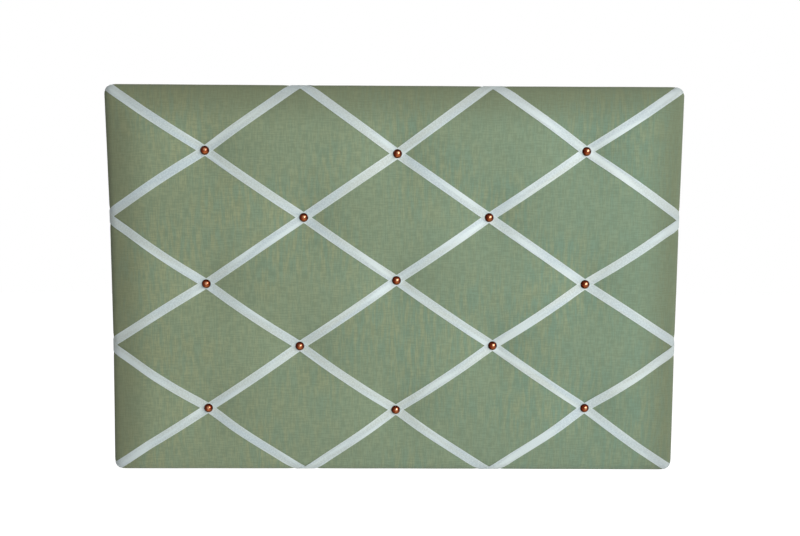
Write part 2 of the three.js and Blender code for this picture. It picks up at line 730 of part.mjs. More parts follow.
// The backing panel, whose flat sides are two fields: a plain one over its lower part, and
// above it the one with the holes for the hangers' screws
function backingGeometry() {
  const side = HALF_WIDTH - BACKING_INSET;
  const seam = (HANGER_Y - SCREW_FROM_BAR - STRAP_END) / 2;
  const corners = roundedCorners(side, HALF_HEIGHT - BACKING_INSET, BACKING_CORNER);
  const half = corners.length / 2;
  const upper = [new THREE.Vector2(side, seam), ...corners.slice(0, half)];
  upper.push(new THREE.Vector2(-side, seam));
  const lower = corners.slice(half);
  const holes = HANGERS.map((hanger) => polygon(screwPoint(hanger), SCREW_HOLE, HOLE_SIDES));
  const flat = [upper, ...holes, lower].flat();
  const lowerStart = flat.length - lower.length;
  const lowerField = [upper.at(-1), ...lower, upper[0]];
  const lowerIndex = [upper.length - 1, ...lower.map((_, k) => lowerStart + k), 0];
  const field = flatFaces(upper, holes);
  field.push(...flatFaces(lowerField, []).map((face) => face.map((k) => lowerIndex[k])));
  const rim = [...upper.keys(), ...lowerIndex.slice(1, -1)];
  const walls = [rim, ...holes.map((hole, h) => {
    const start = upper.length + h * HOLE_SIDES;
    return [...hole.keys()].map((k) => start + k).reverse();
  })];
  const rear = flat.length;
  const faces = field.flatMap(([a, b, c]) => [[a, b, c], [rear + a, rear + c, rear + b]]);
  walls.forEach((wall) => {
    wall.forEach((a, k) => {
      const b = wall[(k + 1) % wall.length];
      faces.push([a, rear + a, rear + b], [a, rear + b, b]);
    });
  });
  const lift = (level) => flat.map(({ x, y }) => new THREE.Vector3(x, y, level));
  return weld(fromFaces([...lift(BACKING_THICKNESS), ...lift(0)], faces));
}

// Materials
const finishes = {
  board: { color: 0x9c7a52, roughness: 0.9, metalness: 0 },
  wadding: { color: 0xe9e7e0, roughness: 1, metalness: 0 },
  cloth: { color: 0x808f74, roughness: 0.95, metalness: 0 },
  satin: { color: 0xc4cdc8, roughness: 0.45, metalness: 0 },
  copper: { color: 0x7a4a33, roughness: 0.3, metalness: 1 },
  steel: { color: 0x9a9a96, roughness: 0.35, metalness: 1 },
  card: { color: 0x7b5a3c, roughness: 0.9, metalness: 0 },
};

const board = new THREE.Group();

// Adds a named piece to a group
function addPiece(group, name, geometry, finish) {
  geometry.computeVertexNormals();
  const mesh = new THREE.Mesh(geometry, new THREE.MeshStandardMaterial(finishes[finish]));
  mesh.name = name;
  group.add(mesh);
  return mesh;
}

// Ribbons, nails and the staples on the ribbons' tails
const pins = [];
RIBBONS.forEach((ribbon) => {
  const form = ribbonForm(ribbon);
  const holes = ribbon.crossings.map((crossing) => nailHole(crossing, CORE_FRONT));
  form.pins.forEach((pin) => holes.push(...stapleHoles(pin)));
  addPiece(board, ribbon.name, toGeometry(cutAll(toSolid(form.geometry), holes)), 'satin');
  form.pins.forEach((pin, k) => {
    const staple = addPiece(board, `${ribbon.name}_staple_${k + 1}`, stapleGeometry(), 'steel');
    staple.applyMatrix4(staplePlace(pin));
    pins.push(pin);
  });
});
CROSSINGS.forEach((crossing, k) => {
  const nail = addPiece(board, `nail_${k + 1}`, nailGeometry(), 'copper');
  nail.position.set(crossing.point.x, crossing.point.y, nailRim(crossing));
});

// Core board
const nailTip = (crossing) => nailRim(crossing) - NAIL_LENGTH - FIT_GAP;
const screwTip = SCREW_SEAT + SCREW_LENGTH + FIT_GAP;
const core = roundedPlate(
  CORE_INSET,
  Math.max(CORNER_RADIUS - CORE_INSET, FIT_GAP),
  CORE_REAR,
  CORE_FRONT,
);
addPiece(board, 'core_board', toGeometry(cutAll(toSolid(core), [
  ...CROSSINGS.map((crossing) => nailHole(crossing, nailTip(crossing))),
  ...HANGERS.map((hanger) => roundBar(screwPoint(hanger), SCREW_HOLE, 0, screwTip)),
  ...pins.flatMap(stapleHoles),
])), 'board');

// Wadding pad, a tray that the core lies in
const pocket = roundedPlate(
  CORE_INSET - FIT_GAP,
  Math.max(CORNER_RADIUS - CORE_INSET, FIT_GAP) + FIT_GAP,
  CORE_REAR - CUT_MARGIN,
  CORE_FRONT + FIT_GAP,
);
addPiece(board, 'wadding_pad', toGeometry(cutAll(toSolid(paddedForm(WADDING_INSET)), [
  pocket,
  ...CROSSINGS.map((crossing) => nailHole(crossing, CORE_FRONT)),
])), 'wadding');

// Cover, a thin skin turned over the rear edge as a hem that stops short of the staples
const stapleInset = Math.min(...pins.map(({ point }) => insetAt(point)));
const hemMouth = roundedPlate(
  stapleInset - STAPLE_CROWN / 2 - HEM_CLEARANCE,
  CORNER_RADIUS,
  COVER_REAR - CUT_MARGIN,
  CORE_REAR,
);
addPiece(board, 'cover_fabric', toGeometry(cutAll(toSolid(paddedForm(0)), [
  paddedForm(COVER_THICKNESS),
  hemMouth,
  ...CROSSINGS.map((crossing) => nailHole(crossing, CORE_FRONT)),
])), 'cloth');

// Backing panel
addPiece(board, 'backing_panel', backingGeometry(), 'card');

// Hangers
HANGERS.forEach(({ side, x }) => {
  const hanger = new THREE.Group();
  hanger.position.set(x, HANGER_Y, BAR_LEVEL);
  addPiece(hanger, `hanger_strap_${side}`, strapGeometry(), 'steel');
  const ring = addPiece(hanger, `hanger_ring_${side}`, ringGeometry(), 'steel');
  ring.rotation.x = RING_LEAN;
  const screw = addPiece(hanger, `hanger_screw_${side}`, screwGeometry(), 'steel');
  screw.position.set(0, -SCREW_FROM_BAR, SCREW_SEAT - BAR_LEVEL);
  board.add(hanger);
});

// Stand the board upright, with its face towards -y
board.rotation.x = Math.PI / 2;

export default board;
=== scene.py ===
"""Looks of a french memo board.

A padded board is covered in sage cloth and crossed by a lattice of satin ribbons, which domed
copper nails hold down into small hollows. Its back has a hardboard panel and two D-ring hangers.
The face looks towards -y, z is up and everything is in metres.
"""

import logging
import math
from collections.abc import Callable
from dataclasses import dataclass, field, replace
from enum import Enum
from typing import ClassVar

import bmesh
import bpy
import numpy as np
from mathutils import Color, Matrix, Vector

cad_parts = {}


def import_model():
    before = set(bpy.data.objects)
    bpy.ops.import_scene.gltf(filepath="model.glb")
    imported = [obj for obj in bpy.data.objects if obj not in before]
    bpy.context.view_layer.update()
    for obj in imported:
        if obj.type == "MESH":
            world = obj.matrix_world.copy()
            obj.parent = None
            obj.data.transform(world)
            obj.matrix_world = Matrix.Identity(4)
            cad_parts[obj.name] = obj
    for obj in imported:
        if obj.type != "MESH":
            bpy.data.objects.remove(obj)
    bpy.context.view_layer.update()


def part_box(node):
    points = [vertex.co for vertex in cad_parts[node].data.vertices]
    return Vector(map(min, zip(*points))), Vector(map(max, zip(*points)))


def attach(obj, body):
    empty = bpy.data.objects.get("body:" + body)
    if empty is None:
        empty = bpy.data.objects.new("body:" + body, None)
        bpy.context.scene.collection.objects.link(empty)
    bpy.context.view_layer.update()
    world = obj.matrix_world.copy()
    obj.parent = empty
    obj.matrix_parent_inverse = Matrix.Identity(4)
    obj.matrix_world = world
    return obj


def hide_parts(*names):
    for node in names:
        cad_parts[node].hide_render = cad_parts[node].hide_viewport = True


LOG = logging.getLogger("memo_board")
MM = 0.001
CLOTH_MAP = "cloth"
RIBBON_MAP = "ribbon"
CROWN = "crown"
FOOT = "foot"
SEED = 7
FULL_CHANNEL = 255
QUARTER = math.pi / 2
WHITE = (1.0, 1.0, 1.0, 1.0)

Rgb = tuple[int, int, int]
Rgba = tuple[float, float, float, float]
Triple = tuple[float, float, float]
Pair = tuple[float, float]
Faces = list[tuple[int, ...]]


def tint(shade: Rgb) -> Rgba:
    """Turn a display colour, from 0 to 255, into the linear colour that shaders take."""
    linear = Color([part / FULL_CHANNEL for part in shade]).from_srgb_to_scene_linear()
    return (*linear, 1.0)


def smooth(share: np.ndarray) -> np.ndarray:
    """Cut a share to 0 to 1 and ease it with level ends."""
    cut = np.clip(share, 0.0, 1.0)
    return cut * cut * (3.0 - 2.0 * cut)


def both_ways(operation: str) -> tuple[Callable[..., "Value"], Callable[..., "Value"]]:
    """Make an operator and its reflected form from a Math node's operation.

    Args:
        operation: The node's operation.

    Returns:
        The operator, and the form with its two sides exchanged.
    """

    def forward(value: "Value", other: object) -> "Value":
        """Put the value first and the other second."""
        return value.maths(operation, value, other)

    def reflected(value: "Value", other: object) -> "Value":
        """Put the other first and the value second."""
        return value.maths(operation, other, value)

    return forward, reflected


class Value:
    """A socket of a node tree that takes part in Python expressions."""

    __add__, __radd__ = both_ways("ADD")
    __sub__, __rsub__ = both_ways("SUBTRACT")
    __mul__, __rmul__ = both_ways("MULTIPLY")
    __truediv__, __rtruediv__ = both_ways("DIVIDE")
    __mod__, __rmod__ = both_ways("FLOORED_MODULO")
    __pow__, __rpow__ = both_ways("POWER")

    def __init__(self, tree: "Tree", socket: bpy.types.NodeSocket) -> None:
        """Keep the tree and the socket that the value comes from."""
        self.tree = tree
        self.socket = socket

    def maths(self, operation: str, first: object, second: object = 0.0) -> "Value":
        """Add a Math node of an operation, with a number or a Value on each of its sockets."""
        return self.tree.node("ShaderNodeMath", {0: first, 1: second}, operation=operation)

    def beside(self, name: str) -> "Value":
        """Give another output of the node that the value comes from."""
        return Value(self.tree, self.socket.node.outputs[name])

    def __abs__(self) -> "Value":
        """Drop the sign."""
        return self.maths("ABSOLUTE", self)

    def __floor__(self) -> "Value":
        """Round down."""
        return self.maths("FLOOR", self)

    def sine(self) -> "Value":
        """Give the sine of an angle in radians."""
        return self.maths("SINE", self)

    def above(self, other: object) -> "Value":
        """Give the larger of two values."""
        return self.maths("MAXIMUM", self, other)


class Tree:
    """A node tree that is filled by calls."""

    def __init__(self, nodes: bpy.types.NodeTree) -> None:
        """Empty a node tree and keep it."""
        self.nodes = nodes
        nodes.nodes.clear()

    def node(
        self,
        kind: str,
        inputs: dict[str | int, object] | None = None,
        output: str | int = 0,
        **settings: object,
    ) -> Value:
        """Add a node.

        Args:
            kind: The node's type.
            inputs: Numbers, colours or Values for its sockets, by name or place.
            output: The socket that is handed back.
            settings: The node's own settings, which are set first.

        Returns:
            The chosen output, or the first input of a node that has none.
        """
        made = self.nodes.nodes.new(kind)
        for name, value in settings.items():
            setattr(made, name, value)
        for name, value in (inputs or {}).items():
            if isinstance(value, Value):
                self.nodes.links.new(value.socket, made.inputs[name])
            else:
                made.inputs[name].default_value = value
        return Value(self, made.outputs[output] if made.outputs else made.inputs[0])


class Graph(Tree):
    """Node tree of a material or of the world."""

    mix_share: ClassVar[int] = 0
    mix_first: ClassVar[int] = 6
    mix_second: ClassVar[int] = 7
    mix_result: ClassVar[int] = 2

    def mix(self, share: object, first: object, second: object) -> Value:
        """Blend two colours by the share in which the second shows."""
        inputs = {self.mix_share: share, self.mix_first: first, self.mix_second: second}
        return self.node("ShaderNodeMix", inputs, self.mix_result, data_type="RGBA")

    def spread(self, value: Value, span: Pair, most: float = 1.0) -> Value:
        """Turn a span of a value into a share from 0 to a most, with eased ends."""
        inputs = {"Value": value, "From Min": span[0], "From Max": span[1], "To Max": most}
        return self.node("ShaderNodeMapRange", inputs, interpolation_type="SMOOTHSTEP")

    def bump(self, height: Value, distance: float, strength: float = 1.0) -> Value:
        """Turn a height from 0 to 1 into a normal, by its real depth and how much of it shows."""
        inputs = {"Height": height, "Distance": distance, "Strength": strength}
        return self.node("ShaderNodeBump", inputs)


@dataclass(frozen=True)
class Grain:
    """A noise of a finish, and the span of it that shows."""

    scale: float = 1.0
    stretch: Triple | None = None
    detail: float = 2.0
    span: Pair = (0.0, 1.0)
    most: float = 1.0

    def noise(self, graph: Graph, place: Value) -> Value:
        """Read the noise itself.

        Args:
            graph: The material's nodes.
            place: Where it is read.

        Returns:
            The noise from 0 to 1.
        """
        if self.stretch:
            stretched = {0: place, 1: self.stretch}
            place = graph.node("ShaderNodeVectorMath", stretched, operation="MULTIPLY")
        inputs = {"Vector": place, "Scale": self.scale, "Detail": self.detail}
        return graph.node("ShaderNodeTexNoise", inputs)

    def shown(self, graph: Graph, noise: Value) -> Value:
        """Turn the noise into the share in which it shows."""
        return graph.spread(noise, self.span, self.most)

    def patches(self, graph: Graph, place: Value) -> Value:
        """Read the share in which the noise shows at a place."""
        return self.shown(graph, self.noise(graph, place))


@dataclass(frozen=True)
class Finish:
    """What all finishes share: a name and the steady values of the shader."""

    name: str
    steady: ClassVar[dict[str, float]] = {}

    def material(self) -> bpy.types.Material:
        """Build the material once and hand it out after that.

        Returns:
            The material.
        """
        found = bpy.data.materials.get(self.name)
        if found:
            return found
        made = bpy.data.materials.new(self.name)
        made.use_nodes = True
        graph = Graph(made.node_tree)
        inputs = {**self.steady, **self.paint(graph)}
        shader = graph.node("ShaderNodeBsdfPrincipled", inputs)
        graph.node("ShaderNodeOutputMaterial", {"Surface": shader})
        return made

    def paint(self, graph: Graph) -> dict[str, Value]:
        """Give the shader's inputs that vary over the surface, by the names of its sockets."""
        raise NotImplementedError


@dataclass(frozen=True)
class EdgeShade:
    """Painted shade along the board's sides and top, and not at its bottom."""

    run: float
    most: float
    half_width: float = 300 * MM
    half_height: float = 204 * MM

    def share(self, graph: Graph, across: Value, up: Value) -> Value:
        """Tell how much painted shade a place takes.

        Args:
            graph: The material's nodes.
            across: Place across the board.
            up: Place up it.

        Returns:
            From 0 inside the run to the most at the sides and the top.
        """
        sides = graph.spread(abs(across), (self.half_width - self.run, self.half_width), self.most)
        top = graph.spread(up, (self.half_height - self.run, self.half_height), self.most)
        return sides.above(top)


@dataclass(frozen=True)
class Cloth(Finish):
    """Matt plain-woven cloth with heather streaks in its yarns."""

    steady: ClassVar[dict[str, float]] = {
        "Roughness": 0.93,
        "Sheen Weight": 0.12,
        "Sheen Roughness": 0.55,
        "Specular IOR Level": 0.25,
    }
    name: str = "sage_cloth"
    olive: Rgb = (145, 154, 120)
    mist: Rgb = (120, 146, 125)
    shade: Rgb = (104, 120, 96)
    edge_shade_colour: Rgb = (104, 109, 82)
    edge_shade: EdgeShade = EdgeShade(50 * MM, 0.65)
    yarn: float = 0.75 * MM
    crossed_height: float = 0.6
    gap_shade: float = 0.14
    warp_slub: Grain = Grain(stretch=(900.0, 90.0, 1.0))
    weft_slub: Grain = Grain(stretch=(90.0, 900.0, 1.0))
    slub_span: Pair = (0.42, 0.58)
    slub_shade: float = 0.46
    dye: Grain = Grain(stretch=(260.0, 34.0, 1.0), span=(0.36, 0.64))
    patch: Grain = Grain(9.0, detail=1.0, span=(0.38, 0.66), most=0.6)
    least_streak: float = 0.2
    side_fade: float = 0.6
    weave_relief: float = 0.8
    relief_depth: float = 0.14 * MM
    relief_strength: float = 0.55

    def paint(self, graph: Graph) -> dict[str, Value]:
        """Weave the cloth.

        Args:
            graph: The material's nodes.

        Returns:
            Colour and normal.
        """
        cut = graph.node("ShaderNodeUVMap", uv_map=CLOTH_MAP)
        columns = graph.node("ShaderNodeSeparateXYZ", {0: cut})
        rows = columns.beside("Y")
        height = self._weave(columns / self.yarn, rows / self.yarn)
        slubs = self.warp_slub.noise(graph, cut) + self.weft_slub.noise(graph, cut)
        slub = graph.spread(slubs * 0.5, self.slub_span)
        streak = self.least_streak + self.patch.patches(graph, cut)
        fade = columns * (self.side_fade / (2.0 * self.edge_shade.half_width))
        blend = 0.5 + fade + (self.dye.patches(graph, cut) - 0.5) * streak
        colour = graph.mix(blend, tint(self.olive), tint(self.mist))
        colour = graph.mix(slub * self.slub_shade, colour, tint(self.shade))
        colour = graph.mix((1.0 - height) * self.gap_shade, colour, tint(self.shade))
        # Painted shade: the cloth darkens towards the sides and the top.
        colour = graph.mix(self.edge_shade.share(graph, columns, rows), colour, tint(self.edge_shade_colour))
        relief = height * self.weave_relief + slub * (1.0 - self.weave_relief)
        normal = graph.bump(relief, self.relief_depth, self.relief_strength)
        return {"Base Color": colour, "Normal": normal}

    def _weave(self, across: Value, up: Value) -> Value:
        """Pass the yarns over and under each other.

        Args:
            across: Place across the cloth in yarns.
            up: Place up it in yarns.

        Returns:
            The height of the weave from 0 to 1.
        """
        warp_on_top = (math.floor(across) + math.floor(up)) % 2.0
        warp = abs((across * math.pi).sine())
        weft = abs((up * math.pi).sine())
        rise = 1.0 - self.crossed_height
        over = warp_on_top * warp * (self.crossed_height + rise * weft)
        return over + (1.0 - warp_on_top) * weft * (self.crossed_height + rise * warp)


@dataclass(frozen=True)
class Satin(Finish):
    """Pale satin ribbon with fine weft ribs and a firm selvedge."""

    steady: ClassVar[dict[str, float]] = {"Sheen Weight": 0.15, "Sheen Roughness": 0.35}
    name: str = "pale_satin"
    ground: Rgb = (177, 191, 189)
    cream: Rgb = (187, 192, 179)
    cool: Rgb = (174, 190, 201)
    light: Rgb = (210, 222, 221)
    edge_shade_colour: Rgb = (150, 156, 156)
    edge_shade: EdgeShade = EdgeShade(45 * MM, 0.45)
    rib: float = 0.55 * MM
    drift: Grain = Grain(stretch=(0.7, 9.0, 1.0), span=(0.34, 0.66))
    drift_tint: float = 0.5
    sheen: Grain = Grain(1.3, (0.9, 11.0, 1.0), 1.0, (0.46, 0.7), 0.7)
    fibre: Grain = Grain(1.0, (26.0, 60.0, 1.0), 3.0, (0.45, 0.75), 0.3)
    glint: Grain = Grain(1.0, (6.0, 640.0, 1.0), 2.0, (0.4, 0.62), 0.45)
    selvedge: Pair = (0.41, 0.47)
    selvedge_light: float = 0.6
    gloss: float = 0.36
    dulling: float = 0.2
    rib_relief: float = 0.35
    fibre_relief: float = 0.3
    selvedge_relief: float = 0.35
    relief_depth: float = 0.06 * MM
    relief_strength: float = 0.6

    def paint(self, graph: Graph) -> dict[str, Value]:
        """Weave the ribbon.

        Args:
            graph: The material's nodes.

        Returns:
            Colour, roughness and normal.
        """
        cut = graph.node("ShaderNodeUVMap", uv_map=RIBBON_MAP)
        width = graph.node("ShaderNodeSeparateXYZ", {0: cut})
        ribs = (width.beside("Y") * (2.0 * math.pi / self.rib)).sine() * 0.5 + 0.5
        edge = graph.spread(abs(width - 0.5), self.selvedge)
        fibre = self.fibre.noise(graph, cut)
        drift = graph.mix(self.drift.patches(graph, cut), tint(self.cream), tint(self.cool))
        colour = graph.mix(self.drift_tint, tint(self.ground), drift)
        lights = (
            self.sheen.patches(graph, cut),
            self.fibre.shown(graph, fibre),
            self.glint.patches(graph, cut),
            edge * self.selvedge_light,
        )
        for share in lights:
            colour = graph.mix(share, colour, tint(self.light))
        # Painted shade: the ribbons darken towards the board's sides and top.
        place = graph.node("ShaderNodeTexCoord", output="Object")
        across = graph.node("ShaderNodeSeparateXYZ", {0: place})
        painted_light = self.edge_shade.share(graph, across, across.beside("Z"))
        relief = ribs * self.rib_relief + fibre * self.fibre_relief + edge * self.selvedge_relief
        return {
            "Base Color": graph.mix(painted_light, colour, tint(self.edge_shade_colour)),
            "Roughness": self.gloss + fibre * self.dulling,
            "Normal": graph.bump(relief, self.relief_depth, self.relief_strength),
        }


@dataclass(frozen=True)
class AgedMetal(Finish):
    """Plated metal with a darker bloom in places and fine handling marks."""

    steady: ClassVar[dict[str, float]] = {"Metallic": 1.0}
    name: str = "nickel_plate"
    bright: Rgb = (206, 203, 196)
    bloom: Rgb = (166, 162, 154)
    clouds: Grain = Grain(90.0, detail=4.0, span=(0.35, 0.68))
    marks: Grain = Grain(5200.0, (1.0, 1.0, 0.2))
    gloss: float = 0.2
    dulling: float = 0.14
    mark_dulling: float = 0.06
    mark_depth: float = 0.01 * MM
    mark_strength: float = 0.2

    def paint(self, graph: Graph) -> dict[str, Value]:
        """Plate the metal.

        Args:
            graph: The material's nodes.

        Returns:
            Colour, roughness and normal.
        """
        place = graph.node("ShaderNodeTexCoord", output="Object")
        cloud = self.clouds.patches(graph, place)
        marks = self.marks.noise(graph, place)
        return {
            "Base Color": graph.mix(cloud, tint(self.bright), tint(self.bloom)),
            "Roughness": self.gloss + cloud * self.dulling + marks * self.mark_dulling,
            "Normal": graph.bump(marks, self.mark_depth, self.mark_strength),
        }


@dataclass(frozen=True)
class DomedCopper(AgedMetal):
    """Antique copper, dark at a nail's rim from patina and a painted dark reflection, with a painted
    reflection at its foot and a painted highlight near its crown.
    """

    name: str = "antique_copper"
    bright: Rgb = (108, 44, 20)
    bloom: Rgb = (84, 29, 12)
    rim: Rgb = (60, 14, 6)
    painted_reflection: Rgb = (150, 82, 46)
    painted_highlight: Rgb = (206, 158, 122)
    clouds: Grain = replace(AgedMetal.clouds, scale=420.0)
    gloss: float = 0.16
    dulling: float = 0.06
    rim_span: Pair = (0.2, 0.75)
    foot_span: Pair = (0.5, 0.9)
    foot_share: float = 0.85
    highlight_from: float = 0.76
    highlight_power: float = 3.5

    def paint(self, graph: Graph) -> dict[str, Value]:
        """Darken the plating towards the rim as patina and painted dark reflection, less at the foot
        where a reflection is painted, and paint a highlight near the crown.

        Args:
            graph: The material's nodes.

        Returns:
            Colour, roughness and normal.
        """
        inputs = super().paint(graph)
        crown = graph.node("ShaderNodeAttribute", output="Fac", attribute_name=CROWN)
        foot = graph.node("ShaderNodeAttribute", output="Fac", attribute_name=FOOT)
        # Darker towards the rim and away from the painted highlight: partly antique patina, partly a
        # painted dark reflection of the room.
        body = graph.mix(graph.spread(crown, self.rim_span), tint(self.rim), inputs["Base Color"])
        # Painted reflection: the lower right of the dome is lighter, as if it mirrored a bright surface
        # below.
        body = graph.mix(graph.spread(foot, self.foot_span, self.foot_share), body, tint(self.painted_reflection))
        # Painted highlight: a pale patch a little right of and above the crown, where the lamp's
        # highlight falls.
        painted_light = ((crown - self.highlight_from) / (1.0 - self.highlight_from)).above(0.0)
        inputs["Base Color"] = graph.mix(painted_light**self.highlight_power, body, tint(self.painted_highlight))
        return inputs


@dataclass(frozen=True)
class PressedFibre(Finish):
    """Board pressed from wood fibre, with long fibres and dark specks."""

    steady: ClassVar[dict[str, float]] = {"Specular IOR Level": 0.3}
    name: str = "hardboard"
    ground: Rgb = (124, 90, 60)
    pale: Rgb = (146, 110, 76)
    speck: Rgb = (84, 56, 36)
    fibres: Grain = Grain(240.0, (1.0, 1.0, 0.35), 6.0, (0.38, 0.66))
    clouds: Grain = Grain(15.0, detail=3.0, span=(0.4, 0.7), most=0.35)
    specks: Grain = Grain(960.0, span=(0.62, 0.74))
    speck_share: float = 0.7
    speck_depth: float = 0.3
    dullness: float = 0.62
    fibre_dulling: float = 0.2
    relief_depth: float = 0.06 * MM
    relief_strength: float = 0.6

    def paint(self, graph: Graph) -> dict[str, Value]:
        """Press the fibres.

        Args:
            graph: The material's nodes.

        Returns:
            Colour, roughness and normal.
        """
        place = graph.node("ShaderNodeTexCoord", output="Object")
        fibre = self.fibres.noise(graph, place)
        specks = self.specks.patches(graph, place)
        colour = graph.mix(self.fibres.shown(graph, fibre), tint(self.ground), tint(self.pale))
        colour = graph.mix(self.clouds.patches(graph, place), colour, tint(self.ground))
        colour = graph.mix(specks * self.speck_share, colour, tint(self.speck))
        relief = fibre - specks * self.speck_depth
        return {
            "Base Color": colour,
            "Roughness": self.dullness + fibre * self.fibre_dulling,
            "Normal": graph.bump(relief, self.relief_depth, self.relief_strength),
        }


@dataclass(frozen=True)
class Fleece(Finish):
    """Loose white wadding."""

    steady: ClassVar[dict[str, float]] = {"Roughness": 1.0}
    name: str = "white_wadding"
    ground: Rgb = (232, 230, 222)
    painted_hollow_shade: Rgb = (206, 204, 196)
    fibres: Grain = Grain(700.0, detail=6.0, span=(0.35, 0.7))
    relief_depth: float = 0.4 * MM

    def paint(self, graph: Graph) -> dict[str, Value]:
        """Tease out the fibres.

        Args:
            graph: The material's nodes.

        Returns:
            Colour and normal.
        """
        place = graph.node("ShaderNodeTexCoord", output="Object")
        fibre = self.fibres.noise(graph, place)
        # Painted shade: the fibres' low places, where the bump sinks, are darker.
        colour = graph.mix(self.fibres.shown(graph, fibre), tint(self.painted_hollow_shade), tint(self.ground))
        return {"Base Color": colour, "Normal": graph.bump(fibre, self.relief_depth)}


COPPER = DomedCopper()
NICKEL = AgedMetal()
ZINC = AgedMetal(
    name="zinc_wire",
    bright=(190, 192, 194),
    bloom=(150, 152, 156),
    clouds=replace(AgedMetal.clouds, scale=300.0),
    gloss=0.3,
    dulling=0.2,
)
HARDBOARD = PressedFibre()
SOFTBOARD = PressedFibre(
    name="soft_fibreboard",
    ground=(150, 118, 82),
    pale=(176, 146, 106),
    speck=(112, 84, 56),
    dullness=0.8,
    relief_depth=0.15 * MM,
)


class GeometryTree(Tree):
    """A Geometry Nodes tree with named sizes and one finish."""

    def __init__(self, name: str, sizes: dict[str, float], finish: Finish) -> None:
        """Make an empty tree.

        Args:
            name: The tree's name.
            sizes: Its inputs and their values.
            finish: What its shape is made of.
        """
        group = bpy.data.node_groups.new(name, "GeometryNodeTree")
        super().__init__(group)
        self.sizes = sizes
        self.finish = finish
        face = group.interface
        face.new_socket("Geometry", in_out="INPUT", socket_type="NodeSocketGeometry")
        for size in sizes:
            face.new_socket(size, in_out="INPUT", socket_type="NodeSocketFloat")
        face.new_socket("Geometry", in_out="OUTPUT", socket_type="NodeSocketGeometry")
        self.entry = self.node("NodeGroupInput")

    def given(self, name: str) -> Value:
        """Give one of the tree's inputs."""
        return self.entry.beside(name)

    def close(self, shape: Value) -> None:
        """Realize the instances, set the material and lead the shape out.

        Args:
            shape: The finished geometry.
        """
        real = self.node("GeometryNodeRealizeInstances", {0: shape})
        finished = {"Geometry": real, "Material": self.finish.material()}
        self.node("NodeGroupOutput", {0: self.node("GeometryNodeSetMaterial", finished)})

    def grow(self, name: str, seedling: bpy.types.Mesh) -> bpy.types.Object:
        """Run the tree and keep its result as a plain mesh.

        Args:
            name: The new piece's name.
            seedling: The mesh that the tree starts from.

        Returns:
            The new piece.
        """
        carrier = new_piece(f"{name}_seedling", seedling)
        modifier = carrier.modifiers.new(self.nodes.name, "NODES")
        modifier.node_group = self.nodes
        for item in self.nodes.interface.items_tree:
            if item.in_out == "INPUT" and item.name in self.sizes:
                modifier[item.identifier] = self.sizes[item.name]
        piece = bake_modifiers(carrier, name)
        piece.data.materials.clear()
        piece.data.materials.append(self.finish.material())
        return piece


def new_piece(name: str, mesh: bpy.types.Mesh, finish: Finish | None = None) -> bpy.types.Object:
    """Put a mesh into the scene as an object.

    Args:
        name: The object's name.
        mesh: Its mesh.
        finish: Its finish, where the mesh doesn't have it yet.

    Returns:
        The object.
    """
    piece = bpy.data.objects.new(name, mesh)
    bpy.context.scene.collection.objects.link(piece)
    if finish:
        mesh.materials.append(finish.material())
    return piece


def bake_modifiers(carrier: bpy.types.Object, name: str) -> bpy.types.Object:
    """Turn an object with modifiers into a plain mesh piece and remove the object.

    Args:
        carrier: The object with the modifiers.
        name: The piece's name.

    Returns:
        The piece.
    """
    bpy.context.view_layer.update()
    graph = bpy.context.evaluated_depsgraph_get()
    mesh = bpy.data.meshes.new_from_object(carrier.evaluated_get(graph))
    bpy.data.objects.remove(carrier)
    mesh.name = name
    return new_piece(name, mesh)


def new_mesh(name: str, points: np.ndarray, faces: Faces) -> bpy.types.Mesh:
    """Make a mesh from points and faces.

    Args:
        name: The mesh's name.
        points: Rows of three coordinates.
        faces: Point numbers of each face.

    Returns:
        The mesh, shaded smooth.
    """
    mesh = bpy.data.meshes.new(name)
    mesh.from_pydata([tuple(map(float, point)) for point in points], [], faces)
    shade_smooth(mesh)
    mesh.update()
    return mesh


def shade_smooth(mesh: bpy.types.Mesh) -> None:
    """Shade all of a mesh's faces smooth."""
    mesh.polygons.foreach_set("use_smooth", [True] * len(mesh.polygons))


def lay_map(mesh: bpy.types.Mesh, name: str, flat: np.ndarray) -> None:
    """Give a mesh a UV map from flat coordinates of its points.

    Args:
        mesh: The mesh.
        name: The map's name.
        flat: Two coordinates for each point.
    """
    layer = mesh.uv_layers.new(name=name)
    corners = np.zeros(len(mesh.loops), np.int32)
    mesh.loops.foreach_get("vertex_index", corners)
    layer.data.foreach_set("uv", flat[corners].astype(np.float32).ravel())


def tidy(mesh: bpy.types.Mesh, merge: float = 0.001 * MM) -> None:
    """Merge doubled points and turn a closed mesh's faces outwards.

    Args:
        mesh: The mesh.
        merge: Points closer than this become one.
    """
    made = bmesh.new()
    made.from_mesh(mesh)
    bmesh.ops.remove_doubles(made, verts=made.verts, dist=merge)
    bmesh.ops.dissolve_degenerate(made, edges=made.edges, dist=merge / 2)
    bmesh.ops.recalc_face_normals(made, faces=made.faces)
    made.to_mesh(mesh)
    made.free()


def grid_quads(numbers: np.ndarray) -> Faces:
    """Join a grid of point numbers into faces."""
    corners = (numbers[:-1, :-1], numbers[:-1, 1:], numbers[1:, 1:], numbers[1:, :-1])
    return [tuple(map(int, quad)) for quad in zip(*(corner.ravel() for corner in corners))]


def tube_quads(rows: int, around: int) -> Faces:
    """Join rows of points, each a closed loop, into the faces of a tube."""
    numbers = np.arange(rows * around).reshape(rows, around)
    return grid_quads(np.column_stack([numbers, numbers[:, 0]]))


def lathe(profile: list[Pair], steps: int) -> tuple[np.ndarray, Faces]:
    """Turn a profile round the y axis.

    Args:
        profile: Radius and y of each point; it starts and ends on the axis.
        steps: Steps in a turn.

    Returns:
        Points and faces.
    """
    angles = np.linspace(0, 2 * math.pi, steps, endpoint=False)
    rings = [[(r * math.cos(a), y, r * math.sin(a)) for a in angles] for r, y in profile]
    return np.array(rings).reshape(-1, 3), tube_quads(len(profile), steps)


class Edge(Enum):
    """Sides of the board, each with the direction that points out of it."""

    TOP = (0, 1)
    RIGHT = (1, 0)
    BOTTOM = (0, -1)
    LEFT = (-1, 0)


